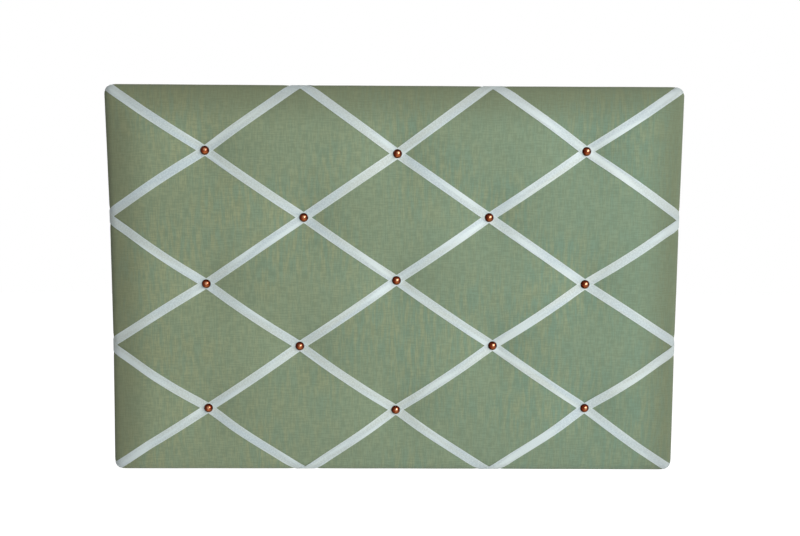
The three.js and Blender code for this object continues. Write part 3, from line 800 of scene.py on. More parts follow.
@dataclass(frozen=True)
class BoardForm:
    """Outline and edge of the padded board, in plan coordinates u across and v up it.

    Lengths along the edge's section are those of the frame's solids, so that the ribbons reach
    their staples. The padding rolls over the front in a wider curve than the solids have.
    """

    half_width: float
    half_height: float
    face: float
    rear: float
    corner: float = 9 * MM
    front_roll: float = 8 * MM
    rear_roll: float = 2 * MM
    soft_width: float = 10 * MM
    soft_depth: float = 6.5 * MM
    soft_points: int = 65
    bow_left: float = 2.4 * MM
    bow_right: float = 0.9 * MM
    bow_top: float = 0.3 * MM
    bow_bottom: float = 0.4 * MM
    bow_fade: float = 70 * MM
    halvings: int = 40

    @classmethod
    def from_frame(cls) -> "BoardForm":
        """Read the sizes from the cover's solid."""
        low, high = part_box("cover_fabric")
        return cls((high.x - low.x) / 2, (high.z - low.z) / 2, -low.y, -high.y)

    @property
    def halves(self) -> np.ndarray:
        """Half of the width and of the height."""
        return np.array([self.half_width, self.half_height])

    @property
    def soft_start(self) -> float:
        """Length along the section at which the soft front starts."""
        return self.front_roll - self.soft_width

    @property
    def side_end(self) -> float:
        """Length along the section at which the flat side ends."""
        flat = self.face - self.front_roll - self.rear - self.rear_roll
        return self.front_roll * QUARTER + flat

    @property
    def rear_start(self) -> float:
        """Length along the section at which the rear starts."""
        return self.side_end + self.rear_roll * QUARTER

    def _soft_arc(self) -> tuple[np.ndarray, np.ndarray]:
        """Measure the soft front, a quarter of an ellipse.

        Returns:
            Angles, and the lengths up to them.
        """
        angles = np.linspace(0, QUARTER, self.soft_points)
        curve = np.stack([self.soft_width * np.sin(angles), self.soft_depth * np.cos(angles)])
        return angles, np.concatenate([[0], np.cumsum(np.hypot(*np.diff(curve)))])

    def section(self, run: np.ndarray, lift: np.ndarray) -> tuple[np.ndarray, np.ndarray]:
        """Follow the section of the edge from the face round to the rear.

        Args:
            run: Length along the section, 0 where the solids' front starts to roll.
            lift: Height over the surface.

        Returns:
            Inset from the outline, and level over the wall.
        """
        run, lift = np.broadcast_arrays(np.asarray(run, float), np.asarray(lift, float))
        angles, lengths = self._soft_arc()
        flank = self.face - self.soft_depth - self.rear - self.rear_roll
        soft = (run - self.soft_start) * (lengths[-1] + flank) / (self.side_end - self.soft_start)
        turn = np.interp(soft, lengths, angles)
        out, up = self.soft_depth * np.sin(turn), self.soft_width * np.cos(turn)
        slant = np.hypot(out, up)
        back = np.clip(run - self.side_end, 0, self.rear_start - self.side_end) / self.rear_roll
        tight = self.rear_roll + lift
        on_side = run < self.side_end
        inset = self.soft_width * (1 - np.sin(turn)) - lift * out / slant
        inset = np.where(on_side, inset, self.rear_roll - tight * np.cos(back))
        inset = inset + np.maximum(self.soft_start - run, 0) + np.maximum(run - self.rear_start, 0)
        level = self.face - self.soft_depth * (1 - np.cos(turn)) + lift * up / slant
        level = level - np.maximum(soft - lengths[-1], 0)
        level = np.where(on_side, level, self.rear + self.rear_roll - tight * np.sin(back))
        return inset, level

    def inset_at(self, plan: np.ndarray) -> np.ndarray:
        """Tell how far points of the plan lie inside the outline.

        Args:
            plan: Points of the plan.

        Returns:
            Their insets, negative outside.
        """
        past = np.abs(plan) - (self.halves - self.corner)
        outside = np.hypot(*np.moveaxis(np.maximum(past, 0), -1, 0))
        return self.corner - outside - np.minimum(past.max(-1), 0)

    def reach(self, base: np.ndarray, out: np.ndarray, inset: np.ndarray, limits: Pair) -> np.ndarray:
        """Find where lines that run out of the board have an inset.

        Args:
            base: A point of each line.
            out: Direction of each line.
            inset: Inset that is looked for on each line.
            limits: Distances between which it lies.

        Returns:
            Distances from the base points.
        """
        near, far = (np.full(len(base), limit) for limit in limits)
        for _ in range(self.halvings):
            middle = (near + far) / 2
            inside = self.inset_at(base + out * middle[:, None]) > inset
            near, far = np.where(inside, middle, near), np.where(inside, far, middle)
        return near

    def face_lines(self, step: float) -> list[np.ndarray]:
        """Space a grid's lines across and up the face, about a step apart, to its soft front."""
        halves = self.halves - self.soft_width
        return [np.linspace(-half, half, round(2 * half / step) + 1) for half in halves]

    def half(self, edge: Edge) -> float:
        """Give the distance of an edge from the board's middle."""
        return self.half_height if edge in (Edge.TOP, Edge.BOTTOM) else self.half_width

    def stand(self, plan: np.ndarray, level: np.ndarray) -> np.ndarray:
        """Stand plan coordinates upright, with the edges drawn in between the corners.

        Args:
            plan: Points of the plan.
            level: Their levels out from the wall.

        Returns:
            Points of the frame.
        """
        share = np.clip(plan / self.halves, -1, 1)
        near = smooth(1 - (self.halves - np.abs(plan)) / self.bow_fade)
        near = near * (1 - share[..., ::-1] ** 2)
        near = near * smooth((level - self.rear) / self.soft_depth)[..., None]
        low, high = [self.bow_left, self.bow_bottom], [-self.bow_right, -self.bow_top]
        drawn = plan + np.where(share < 0, low, high) * near
        return np.stack([drawn[..., 0], -level, drawn[..., 1]], -1)


@dataclass(eq=False)
class Ribbon:
    """One ribbon of the lattice, from its first mark on the outline to its second.

    An end at a corner has no edge. The bends are millimetres to its left at its two ends. Pins
    are the places of its nails, and laps those where it lies over an earlier ribbon.
    """

    name: str
    marks: tuple[np.ndarray, np.ndarray]
    edges: tuple[Edge | None, Edge | None]
    bends: Pair
    laps: list[float] = field(default_factory=list)
    pins: list[float] = field(default_factory=list)

    @property
    def start(self) -> np.ndarray:
        """Its first mark."""
        return self.marks[0]

    @property
    def length(self) -> float:
        """Distance between its two marks."""
        return float(np.hypot(*(self.marks[1] - self.start)))

    @property
    def along(self) -> np.ndarray:
        """Direction from its first mark to its second."""
        return (self.marks[1] - self.start) / self.length

    @property
    def across(self) -> np.ndarray:
        """Direction to its left."""
        return np.array([-self.along[1], self.along[0]])

    def veer(self, reach: np.ndarray, settled: float = 0.0) -> np.ndarray:
        """Tell how far it was pulled to its left outside its first and last nails.

        Args:
            reach: Distances along it from its first mark.
            settled: How far before a mark the pull is complete; with 0 it fades behind the mark.

        Returns:
            The sideways distances.
        """
        pulled = np.zeros_like(reach)
        rooms = (min(self.pins), self.length - max(self.pins))
        for bend, way, room in zip(self.bends, (reach, self.length - reach), rooms):
            share = (room - way) / (room - settled)
            share = np.minimum(share, 1) if settled else share
            pulled = pulled + bend * MM * np.clip(1 - np.abs(share - 1), 0, 1)
        return pulled


class Lattice:
    """The ribbons in the order in which they are laid, and their crossings."""

    nail_inset: ClassVar[float] = 30 * MM
    same_mark: ClassVar[float] = 20 * MM
    least_turn: ClassVar[float] = 0.1

    def __init__(self, form: BoardForm) -> None:
        """Lay the ribbons over a board.

        Args:
            form: The board's form.
        """
        self.form = form
        top, right, bottom, left = Edge.TOP, Edge.RIGHT, Edge.BOTTOM, Edge.LEFT
        corner, mark = self._corner, self._mark
        # A ribbon has its name, its two marks with its slips off them, and the bends of its ends.
        lays = [
            ("ribbon_fall_1", corner(-1, 1, 4, 0), corner(1, -1, 0, 4), (-2.1, -2.6)),
            ("ribbon_rise_1", corner(-1, -1, 3.5, 0), corner(1, 1, -4, 0), (3.4, -1.6)),
            ("ribbon_fall_2", mark(top, -1, 0.5), mark(right, -1, -1.5), (3.2, 4.2)),
            ("ribbon_fall_3", mark(top, 1, 2), mark(right, 1, -0.5), (1.7, 1.5)),
            ("ribbon_rise_2", mark(left, -1, -4.5), mark(top, 1, 5.5), (6.0, 5.0)),
            ("ribbon_rise_3", mark(left, 1, -2), mark(top, -1, 3), (3.2, 2.1)),
            ("ribbon_fall_4", mark(left, 1, -1), mark(bottom, 1, 1), (-0.5, -0.6)),
            ("ribbon_fall_5", mark(left, -1, 1), mark(bottom, -1, 5), (-2.2, -1.5)),
            ("ribbon_rise_4", mark(bottom, -1, 4), mark(right, 1, -2), (-2.2, -2.2)),
            ("ribbon_rise_5", mark(bottom, 1, 2.5), mark(right, -1, -1), (-1.5, -1.7)),
        ]
        self.ribbons = []
        for name, first, last, bends in lays:
            marks, edges = zip(first, last)
            self.ribbons.append(Ribbon(name, marks, edges, bends))
        self.nails = self._cross()

    def _mark(self, edge: Edge, side: int, slip: float) -> tuple[np.ndarray, Edge]:
        """Mark an edge a sixth of the board from its middle.

        Args:
            edge: The edge.
            side: Which way from the middle.
            slip: How far, in millimetres, the ribbon was laid off the mark.

        Returns:
            The point of the plan and its edge.
        """
        out = np.array(edge.value, float)
        along = 1 - np.abs(out)
        sixth = self.form.halves / 3
        return out * self.form.half(edge) + along * (side * sixth + slip * MM), edge

    def _corner(self, side_u: int, side_v: int, slip_u: float, slip_v: float) -> tuple[np.ndarray, None]:
        """Mark a corner, which has no edge, with the ribbon's slips off it in millimetres."""
        return np.array([side_u, side_v]) * self.form.halves + np.array([slip_u, slip_v]) * MM, None

    def _cross(self) -> np.ndarray:
        """Find the crossings on the face and note where a ribbon lies over an earlier one.

        Returns:
            The crossings, where the nails are.
        """
        found = []
        for order, under in enumerate(self.ribbons):
            for over in self.ribbons[order + 1 :]:
                turn = float(np.cross(under.along, over.along))
                if abs(turn) < self.least_turn:
                    continue
                reach = float(np.cross(over.start - under.start, over.along)) / turn
                point = under.start + under.along * reach
                if self.form.inset_at(point) < self.nail_inset:
                    continue
                over.laps.append(float(np.dot(point - over.start, over.along)))
                over.pins.append(over.laps[-1])
                under.pins.append(reach)
                found.append(point)
        return np.array(found)

    def over_at(self, ribbon: Ribbon, far: bool) -> bool:
        """Tell whether a ribbon lies over an earlier one where it leaves the face.

        Args:
            ribbon: The ribbon.
            far: Whether it is the end at the second mark.

        Returns:
            Whether an earlier ribbon has a mark at the same place.
        """
        for other in self.ribbons[: self.ribbons.index(ribbon)]:
            for point, edge in zip(other.marks, other.edges):
                gap = np.hypot(*(point - ribbon.marks[far]))
                if edge == ribbon.edges[far] and gap < self.same_mark:
                    return True
        return False

    def distance(self, plan: np.ndarray) -> np.ndarray:
        """Measure how far points lie from the nearest ribbon's centre line.

        Args:
            plan: Points of the unrolled plan.

        Returns:
            Their distances.
        """
        nearest = np.full(plan.shape[:-1], np.inf)
        for ribbon in self.ribbons:
            reach = (plan - ribbon.start) @ ribbon.along
            aside = (plan - ribbon.start) @ ribbon.across - ribbon.veer(reach)
            nearest = np.minimum(nearest, np.abs(aside))
        return nearest


@dataclass(frozen=True)
class HeightMap:
    """Heights on a grid over the face."""

    across: np.ndarray
    up: np.ndarray
    heights: np.ndarray

    def at(self, plan: np.ndarray) -> np.ndarray:
        """Read the heights between the grid's points.

        Args:
            plan: Points of the plan; those outside the grid take the height of its rim.

        Returns:
            Their heights.
        """
        column = np.interp(plan[..., 0], self.across, np.arange(len(self.across)))
        row = np.interp(plan[..., 1], self.up, np.arange(len(self.up)))
        left = np.minimum(column.astype(int), len(self.across) - 2)
        low = np.minimum(row.astype(int), len(self.up) - 2)
        along, rise = column - left, row - low
        lower = self.heights[low, left] * (1 - along) + self.heights[low, left + 1] * along
        upper = self.heights[low + 1, left] * (1 - along) + self.heights[low + 1, left + 1] * along
        return lower * (1 - rise) + upper * rise


@dataclass(frozen=True)
class PaddedFace:
    """Relief of the padded face: hollows at the nails and soft pillows between the ribbons.

    The ripples are the slow unevenness of hand-laid wadding. Each wave has its turns across and
    up in radians to the metre, and its start.
    """

    form: BoardForm
    lattice: Lattice
    pillows: HeightMap | None = None
    hollow_depth: float = 6.9 * MM
    hollow_seat: float = 6.5 * MM
    hollow_run: float = 21.5 * MM
    hollow_power: float = 1.35
    swell: float = 5.4 * MM
    pillow: float = 1.4 * MM
    pillow_run: float = 26 * MM
    edge_fade: float = 48 * MM
    ripple: float = 0.2 * MM
    waves: tuple[Triple, ...] = ((61.0, 23.0, 0.6), (-37.0, 71.0, 2.1), (97.0, -41.0, 0.0))
    ribbon_half: float = 5 * MM
    press: float = 0.8 * MM
    press_width: float = 7 * MM
    press_power: int = 4

    def height(self, plan: np.ndarray) -> np.ndarray:
        """Give the relief over the flat face.

        Args:
            plan: Points of the unrolled plan.

        Returns:
            Heights, negative in the hollows.
        """
        away = np.maximum(self.lattice.distance(plan) - self.ribbon_half, 0) / self.pillow_run
        free = self._inward(plan) * (1 - np.exp(-(away**2)))
        pillows = self.pillows.at(plan) if self.pillows else free * self.pillow
        sines = [np.sin(plan @ np.array(wave[:2]) + wave[2]) for wave in self.waves]
        return self.tufted(plan) + pillows + free * self.ripple * np.mean(sines, axis=0)

    def tufted(self, plan: np.ndarray) -> np.ndarray:
        """Give the relief without the pillows.

        Args:
            plan: Points of the unrolled plan.

        Returns:
            Heights, negative in the hollows.
        """
        inward = self._inward(plan)
        pressed = np.exp(-((self.lattice.distance(plan) / self.press_width) ** self.press_power))
        relief = inward * self.swell - (1 - inward) * self.press * pressed
        for nail in self.lattice.nails:
            gap = np.hypot(*np.moveaxis(plan - nail, -1, 0))
            past = np.maximum(gap - self.hollow_seat, 0) / self.hollow_run
            relief = relief - self.hollow_depth * np.exp(-(past**self.hollow_power))
        return relief

    def _inward(self, plan: np.ndarray) -> np.ndarray:
        """Tell how far points are past the fade at the edge, from 0 to 1."""
        return smooth(self.form.inset_at(plan) / self.edge_fade)


@dataclass
class PillowCloth:
    """Cloth of the face, which a simulation blows up between the ribbons that hold it down."""

    face: PaddedFace
    step: float = 5 * MM
    held: float = 5.5 * MM
    pressure: float = 12.0
    tension: float = 5.0
    shear: float = 2.0
    bending: float = 0.2
    quality: int = 6
    frames: int = 20
    limit: float = 1.9 * MM

    def settle(self) -> HeightMap:
        """Run the simulation.

        Returns:
            How far the cloth rose over the face.
        """
        form = self.face.form
        across, up = form.face_lines(self.step)
        plan = np.stack(np.meshgrid(across, up), -1)
        start = form.face + self.face.tufted(plan)
        numbers = np.arange(start.size).reshape(start.shape)
        mesh = new_mesh("pillow_cloth", form.stand(plan, start).reshape(-1, 3), grid_quads(numbers))
        sheet = new_piece("pillow_cloth", mesh)
        held = self.face.lattice.distance(plan) < self.held
        held[[0, -1]] = held[:, [0, -1]] = True
        pins = sheet.vertex_groups.new(name="held")
        pins.add([int(number) for number in numbers[held]], 1.0, "REPLACE")
        self._weave(sheet, pins.name)
        for frame in range(1, self.frames + 1):
            bpy.context.scene.frame_set(frame)
        settled = sheet.evaluated_get(bpy.context.evaluated_depsgraph_get()).data
        places = np.zeros(3 * start.size, np.float32)
        settled.vertices.foreach_get("co", places)
        bpy.data.objects.remove(sheet)
        bpy.data.meshes.remove(mesh)
        bpy.context.scene.frame_set(1)
        rise = -places.reshape(*start.shape, 3)[..., 1] - start
        rise = np.clip(np.nan_to_num(rise), 0.0, self.limit)
        LOG.info("blew up the cloth by up to %.2f mm", rise.max() / MM)
        return HeightMap(across, up, self._even(rise))

    def _weave(self, sheet: bpy.types.Object, pins: str) -> None:
        """Make a sheet behave as cloth under pressure.

        Args:
            sheet: The sheet.
            pins: Its group of points that don't move.
        """
        cloth = sheet.modifiers.new("cloth", "CLOTH")
        cloth.point_cache.frame_end = self.frames
        settings = cloth.settings
        settings.quality = self.quality
        settings.vertex_group_mass = pins
        settings.tension_stiffness = self.tension
        settings.compression_stiffness = self.tension
        settings.shear_stiffness = self.shear
        settings.bending_stiffness = self.bending
        settings.use_pressure = True
        settings.uniform_pressure_force = self.pressure
        settings.effector_weights.gravity = 0.0

    @staticmethod
    def _even(heights: np.ndarray) -> np.ndarray:
        """Even out heights with those next to them.

        Args:
            heights: Heights on a grid.

        Returns:
            The evened heights.
        """
        wide = np.pad(heights, 1, mode="edge")
        rows = (wide[:-2] + 2 * wide[1:-1] + wide[2:]) / 4
        return (rows[:, :-2] + 2 * rows[:, 1:-1] + rows[:, 2:]) / 4


@dataclass(frozen=True)
class Rim:
    """Loop of points round a layer's face, with the direction out of the board at each."""

    numbers: np.ndarray
    base: np.ndarray
    out: np.ndarray


@dataclass
class PaddedShell:
    """A layer that wraps the face, the sides and, where it has a hem, the rear edge."""

    name: str
    face: PaddedFace
    finish: Finish
    inset: float = 0.0
    thickness: float = 0.6 * MM
    hem: float = 0.0
    step: float = 3 * MM
    corner_steps: int = 12
    front_steps: int = 14
    side_steps: int = 4
    rear_steps: int = 4
    hem_steps: int = 4

    def build(self) -> bpy.types.Object:
        """Build the layer's mesh with its thickness.

        Returns:
            The piece.
        """
        plan = np.stack(np.meshgrid(*self.face.form.face_lines(self.step)), -1)
        numbers = np.arange(plan[..., 0].size).reshape(plan.shape[:2])
        level = self.face.form.face + self.face.height(plan) - self.inset
        points = [self.face.form.stand(plan, level).reshape(-1, 3)]
        flats = [plan.reshape(-1, 2)]
        faces = grid_quads(numbers)
        rim = self._rim(plan, numbers)
        ring, count = rim.numbers, numbers.size
        for run in self._runs():
            placed, flat = self._ring(rim, run)
            points.append(placed)
            flats.append(flat)
            fresh = np.arange(len(ring)) + count
            count += len(ring)
            for quad in zip(ring, fresh, np.roll(fresh, -1), np.roll(ring, -1)):
                faces.append(tuple(dict.fromkeys(map(int, quad))))
            ring = fresh
        mesh = new_mesh(self.name, np.vstack(points), faces)
        lay_map(mesh, CLOTH_MAP, np.vstack(flats))
        return self._thicken(mesh)

    def _thicken(self, mesh: bpy.types.Mesh) -> bpy.types.Object:
        """Give the layer its thickness, inwards.

        Args:
            mesh: The layer's outer surface.

        Returns:
            The piece.
        """
        carrier = new_piece(self.name + "_layer", mesh, self.finish)
        wall = carrier.modifiers.new("wall", "SOLIDIFY")
        wall.thickness = self.thickness
        wall.offset = -1.0
        return bake_modifiers(carrier, self.name)

    def _rim(self, plan: np.ndarray, numbers: np.ndarray) -> Rim:
        """Follow the loop round the face, with a fan of directions at each corner.

        Args:
            plan: Grid of the face's points.
            numbers: Their numbers.

        Returns:
            The loop.
        """
        sides = [numbers[:, -1], numbers[-1, ::-1], numbers[::-1, 0], numbers[0, :]]
        loop, turns = [], []
        for quarter, side in enumerate(sides):
            loop += [*side, *[side[-1]] * (self.corner_steps - 1)]
            turns += [quarter] * len(side)
            turns += [quarter + k / self.corner_steps for k in range(1, self.corner_steps)]
        angles = np.array(turns) * QUARTER
        base = plan.reshape(-1, 2)[loop]
        return Rim(np.array(loop), base, np.stack([np.cos(angles), np.sin(angles)], -1))

    def _runs(self) -> np.ndarray:
        """Space the rings of points along the section.

        Returns:
            Lengths along the section.
        """
        form = self.face.form
        arc_end = form.side_end - form.front_roll / 2
        front = np.linspace(form.soft_start, arc_end, self.front_steps + 1)[1:-1]
        side = np.linspace(arc_end, form.side_end, self.side_steps, endpoint=False)
        rear = np.linspace(form.side_end, form.rear_start, self.rear_steps + 1)
        hem = np.linspace(form.rear_start, form.rear_start + self.hem, self.hem_steps + 1)[1:]
        return np.concatenate([front, side, rear, hem if self.hem else []])

    def _ring(self, rim: Rim, run: float) -> tuple[np.ndarray, np.ndarray]:
        """Place a ring of points round the edge.

        Args:
            rim: The loop round the face.
            run: Length along the section.

        Returns:
            Points and flat coordinates of the ring.
        """
        form = self.face.form
        far_out = 3 * (form.soft_width + form.rear_start)
        limits = (0.0, far_out)
        reach = form.reach(rim.base, rim.out, form.front_roll - run, limits)
        flat = rim.base + rim.out * reach[:, None]
        inset, level = form.section(run, self.face.height(flat) - self.inset)
        plan = rim.base + rim.out * form.reach(rim.base, rim.out, inset, limits)[:, None]
        return form.stand(plan, level), flat


@dataclass
class WaddingPad(PaddedShell):
    """Wadding that fills the room between the cover and the core."""

    clearance: float = 0.3 * MM
    merge: float = 0.05 * MM

    def _thicken(self, mesh: bpy.types.Mesh) -> bpy.types.Object:
        """Close the pad on the inside with a surface that lies on the core.

        Args:
            mesh: The pad's outer surface.

        Returns:
            The piece.
        """
        low, high = (np.array(corner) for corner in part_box("core_board"))
        low, high = low - self.clearance, high + self.clearance
        high[1] = np.inf
        made = bmesh.new()
        made.from_mesh(mesh)
        rim = [edge for edge in made.edges if edge.is_boundary]
        copied = bmesh.ops.duplicate(made, geom=[*made.verts, *made.edges, *made.faces])
        inner = []
        for item in copied["geom"]:
            if isinstance(item, bmesh.types.BMVert):
                item.co = Vector(np.clip(np.array(item.co), low, high))
            elif isinstance(item, bmesh.types.BMFace):
                inner.append(item)
        bmesh.ops.reverse_faces(made, faces=inner)
        mirror = copied["edge_map"]
        bmesh.ops.bridge_loops(made, edges=[*rim, *[mirror[edge] for edge in rim]])
        made.to_mesh(mesh)
        made.free()
        tidy(mesh, self.merge)
        return new_piece(self.name, mesh, self.finish)


@dataclass
class PaddedBoard:
    """Cloth cover and wadding round the core."""

    face: PaddedFace
    hem: float = 16 * MM
    cover_wall: float = 0.6 * MM
    wadding_inset: float = 0.9 * MM
    wadding_step: float = 8 * MM

    def dress(self) -> bpy.types.Object:
        """Make the cover and the wadding and dress the core.

        Returns:
            The cover.
        """
        cloth = PaddedShell("padded_cover", self.face, Cloth(), 0.0, self.cover_wall, self.hem)
        cover = cloth.build()
        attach(cover, "board")
        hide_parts("cover_fabric")
        form = self.face.form
        turned = form.rear_start + self.hem - form.front_roll
        flat = (2 * (form.half_width + turned), 2 * (form.half_height + turned))
        report(cover)
        pad = WaddingPad("wadding_layer", self.face, Fleece(), self.wadding_inset, step=self.wadding_step)
        wadding = pad.build()
        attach(wadding, "board")
        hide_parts("wadding_pad")
        report(wadding)
        paint_node("core_board", SOFTBOARD)
        return cover


@dataclass
class RibbonLattice:
    """The ten satin ribbons, wrapped round the edge to their tails on the rear."""

    face: PaddedFace
    width: float = 10 * MM
    drawn_width: float = 9.4 * MM
    thickness: float = 0.4 * MM
    selvedge_drop: float = 0.3
    selvedge_power: int = 6
    crease: float = math.radians(60)
    gap: float = 0.12 * MM
    lap_lift: float = 0.45 * MM
    lap: float = 9 * MM
    lap_run: float = 8 * MM
    edge_ease: float = 3 * MM
    tail: float = 45 * MM
    step: float = 1.5 * MM
    lanes: int = 9
    corner_run: float = 45 * MM
    corner_rows: int = 15
    side_rows: int = 26
    rear_rows: int = 6
    tail_rows: int = 12

    def dress(self, cover: bpy.types.Object) -> None:
        """Make every ribbon.

        Args:
            cover: What the ribbons lie on; not used.
        """
        for ribbon in self.face.lattice.ribbons:
            piece, length = self._build(ribbon)
            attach(piece, "board")
            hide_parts(ribbon.name)
            report(piece)

    def _build(self, ribbon: Ribbon) -> tuple[bpy.types.Object, float]:
        """Make one ribbon as a closed strip.

        Args:
            ribbon: The ribbon.

        Returns:
            The piece and its length.
        """
        shares = np.linspace(-0.5, 0.5, self.lanes)
        crown = self.thickness * (1 - self.selvedge_drop * np.abs(2 * shares) ** self.selvedge_power)
        under = self._skin(ribbon, shares * self.drawn_width, np.zeros(self.lanes))
        upper = self._skin(ribbon, shares * self.drawn_width, crown)
        loops = np.concatenate([upper, under[:, ::-1]], 1)
        rows, around = loops.shape[:2]
        faces = tube_quads(rows, around)
        for start in (0, (rows - 1) * around):
            for k in range(self.lanes - 1):
                ends = (k, k + 1, around - 2 - k, around - 1 - k)
                faces.append(tuple(start + i for i in ends))
        centre = upper[:, self.lanes // 2]
        steps = np.hypot.reduce(np.diff(centre, axis=0), axis=1)
        runs = np.concatenate([[0], np.cumsum(steps)])
        both = np.concatenate([shares, shares[::-1]]) + 0.5
        order = self.face.lattice.ribbons.index(ribbon)
        flat = np.stack(np.broadcast_arrays(both[None, :], runs[:, None] + order), -1)
        name = ribbon.name.replace("ribbon", "satin")
        mesh = new_mesh(name, loops.reshape(-1, 3), faces)
        lay_map(mesh, RIBBON_MAP, flat.reshape(-1, 2))
        tidy(mesh)
        mesh.set_sharp_from_angle(angle=self.crease)
        return new_piece(name, mesh, Satin()), float(runs[-1])

    def _skin(self, ribbon: Ribbon, shifts: np.ndarray, rise: np.ndarray) -> np.ndarray:
        """Lay one side of a ribbon over the board.

        Args:
            ribbon: The ribbon.
            shifts: Distances of its lanes from its centre line.
            rise: Heights of the lanes over the ribbon's under side.

        Returns:
            Rows of points across the ribbon.
        """
        halves = []
        for far in (False, True):
            half = self._edge_half if ribbon.edges[far] else self._corner_half
            halves.append(half(ribbon, far, shifts, rise))
        return np.concatenate([halves[0][::-1], halves[1][1:]])

    def _lift(self, ribbon: Ribbon, reach: np.ndarray) -> np.ndarray:
        """Lift a ribbon where it passes over another at a nail.

        Args:
            ribbon: The ribbon.
            reach: Distances along it from its first mark.

        Returns:
            Lifts.
        """
        lift = np.zeros_like(reach)
        for place in ribbon.laps:
            near = 1 - (np.abs(reach - place) - self.lap) / self.lap_run
            lift = np.maximum(lift, smooth(near) * self.lap_lift)
        return lift

    def _edge_half(self, ribbon: Ribbon, far: bool, shifts: np.ndarray, rise: np.ndarray) -> np.ndarray:
        """Run from a ribbon's middle over a straight edge to its tail.

        Args:
            ribbon: The ribbon.
            far: Whether it is the end at the second mark.
            shifts: Distances of its lanes from its centre line.
            rise: Heights of the lanes.

        Returns:
            Rows of points.
        """
        form = self.face.form
        edge = ribbon.edges[far]
        out = np.array(edge.value, float)
        square = abs(float(ribbon.along @ out))
        half = ribbon.length / 2
        turned = (form.rear_start - form.front_roll) / square + self.tail
        count = math.ceil((half + turned) / self.step)
        reach = half + np.linspace(0, half + turned, count + 1) * (1 if far else -1)
        middle = ribbon.start + ribbon.along * reach[:, None]
        aside = shifts[None, :] + ribbon.veer(reach)[:, None]
        flat = middle[:, None, :] + ribbon.across * aside[..., None]
        run = flat @ out - (form.half(edge) - form.front_roll)
        lift = self._lift(ribbon, reach)
        if self.face.lattice.over_at(ribbon, far):
            sideways = math.sqrt(1 - square**2)
            lap = self.width / 2 / sideways + self.edge_ease
            near = 1 + (middle @ out - form.half(edge) + lap) / self.lap_run
            lift = np.maximum(lift, smooth(near) * self.lap_lift)
        height = self.gap + lift[:, None] + rise[None, :] + self.face.height(flat)
        inset, level = form.section(run, height)
        plan = flat * (1 - np.abs(out)) + out * (form.half(edge) - inset)[..., None]
        return form.stand(plan, level)

    def _corner_half(self, ribbon: Ribbon, far: bool, shifts: np.ndarray, rise: np.ndarray) -> np.ndarray:
        """Run from a ribbon's middle over a corner to its tail, each lane in its own plane.

        Args:
            ribbon: The ribbon.
            far: Whether it is the end at the second mark.
            shifts: Distances of its lanes from its centre line.
            rise: Heights of the lanes.

        Returns:
            Rows of points.
        """
        form = self.face.form
        outward = ribbon.along if far else -ribbon.along
        half = ribbon.length / 2
        lanes = ribbon.marks[far] + ribbon.across * shifts[:, None]
        base = lanes + ribbon.across * ribbon.bends[far] * MM
        centre = len(shifts) // 2

        def reach_of(inset: np.ndarray | float) -> np.ndarray:
            """Find how far past the mark each lane has an inset."""
            return form.reach(base, outward, inset, (-half, half))

        lean = reach_of(form.soft_width)
        open_end = -self.corner_run
        count = math.ceil((half + open_end) / self.step)
        face_rows = np.repeat(np.linspace(-half, open_end, count + 1)[:, None], len(shifts), 1)
        share = np.linspace(0, 1, self.corner_rows)[1:-1, None]
        reach = np.concatenate([face_rows, open_end + (lean - open_end) * share])
        from_start = half + (reach[:, centre] + half) * (1 if far else -1)
        pulled = ribbon.veer(from_start, self.corner_run)
        flat = lanes[None] + outward * reach[..., None] + ribbon.across * pulled[:, None, None]
        height = self.gap + self._lift(ribbon, from_start)[:, None] + rise[None, :]
        rows = [form.stand(flat, form.face + self.face.height(flat) + height)]
        side = np.linspace(form.soft_start, form.side_end, self.side_rows)
        rear = np.linspace(form.side_end, form.rear_start, self.rear_rows)
        for run in (*side, *rear[1:]):
            flat = base + outward * reach_of(form.front_roll - run)[:, None]
            inset, level = form.section(run, self.gap + rise + self.face.height(flat))
            plan = base + outward * reach_of(inset)[:, None]
            rows.append(form.stand(plan, level)[None])
        fold = reach_of(form.rear_roll)
        tail_end = fold[centre] - self.tail
        for share in np.linspace(0, 1, self.tail_rows)[1:]:
            plan = base + outward * (fold + (tail_end - fold) * share)[:, None]
            rows.append(form.stand(plan, form.rear - self.gap - rise)[None])
        return np.concatenate(rows)


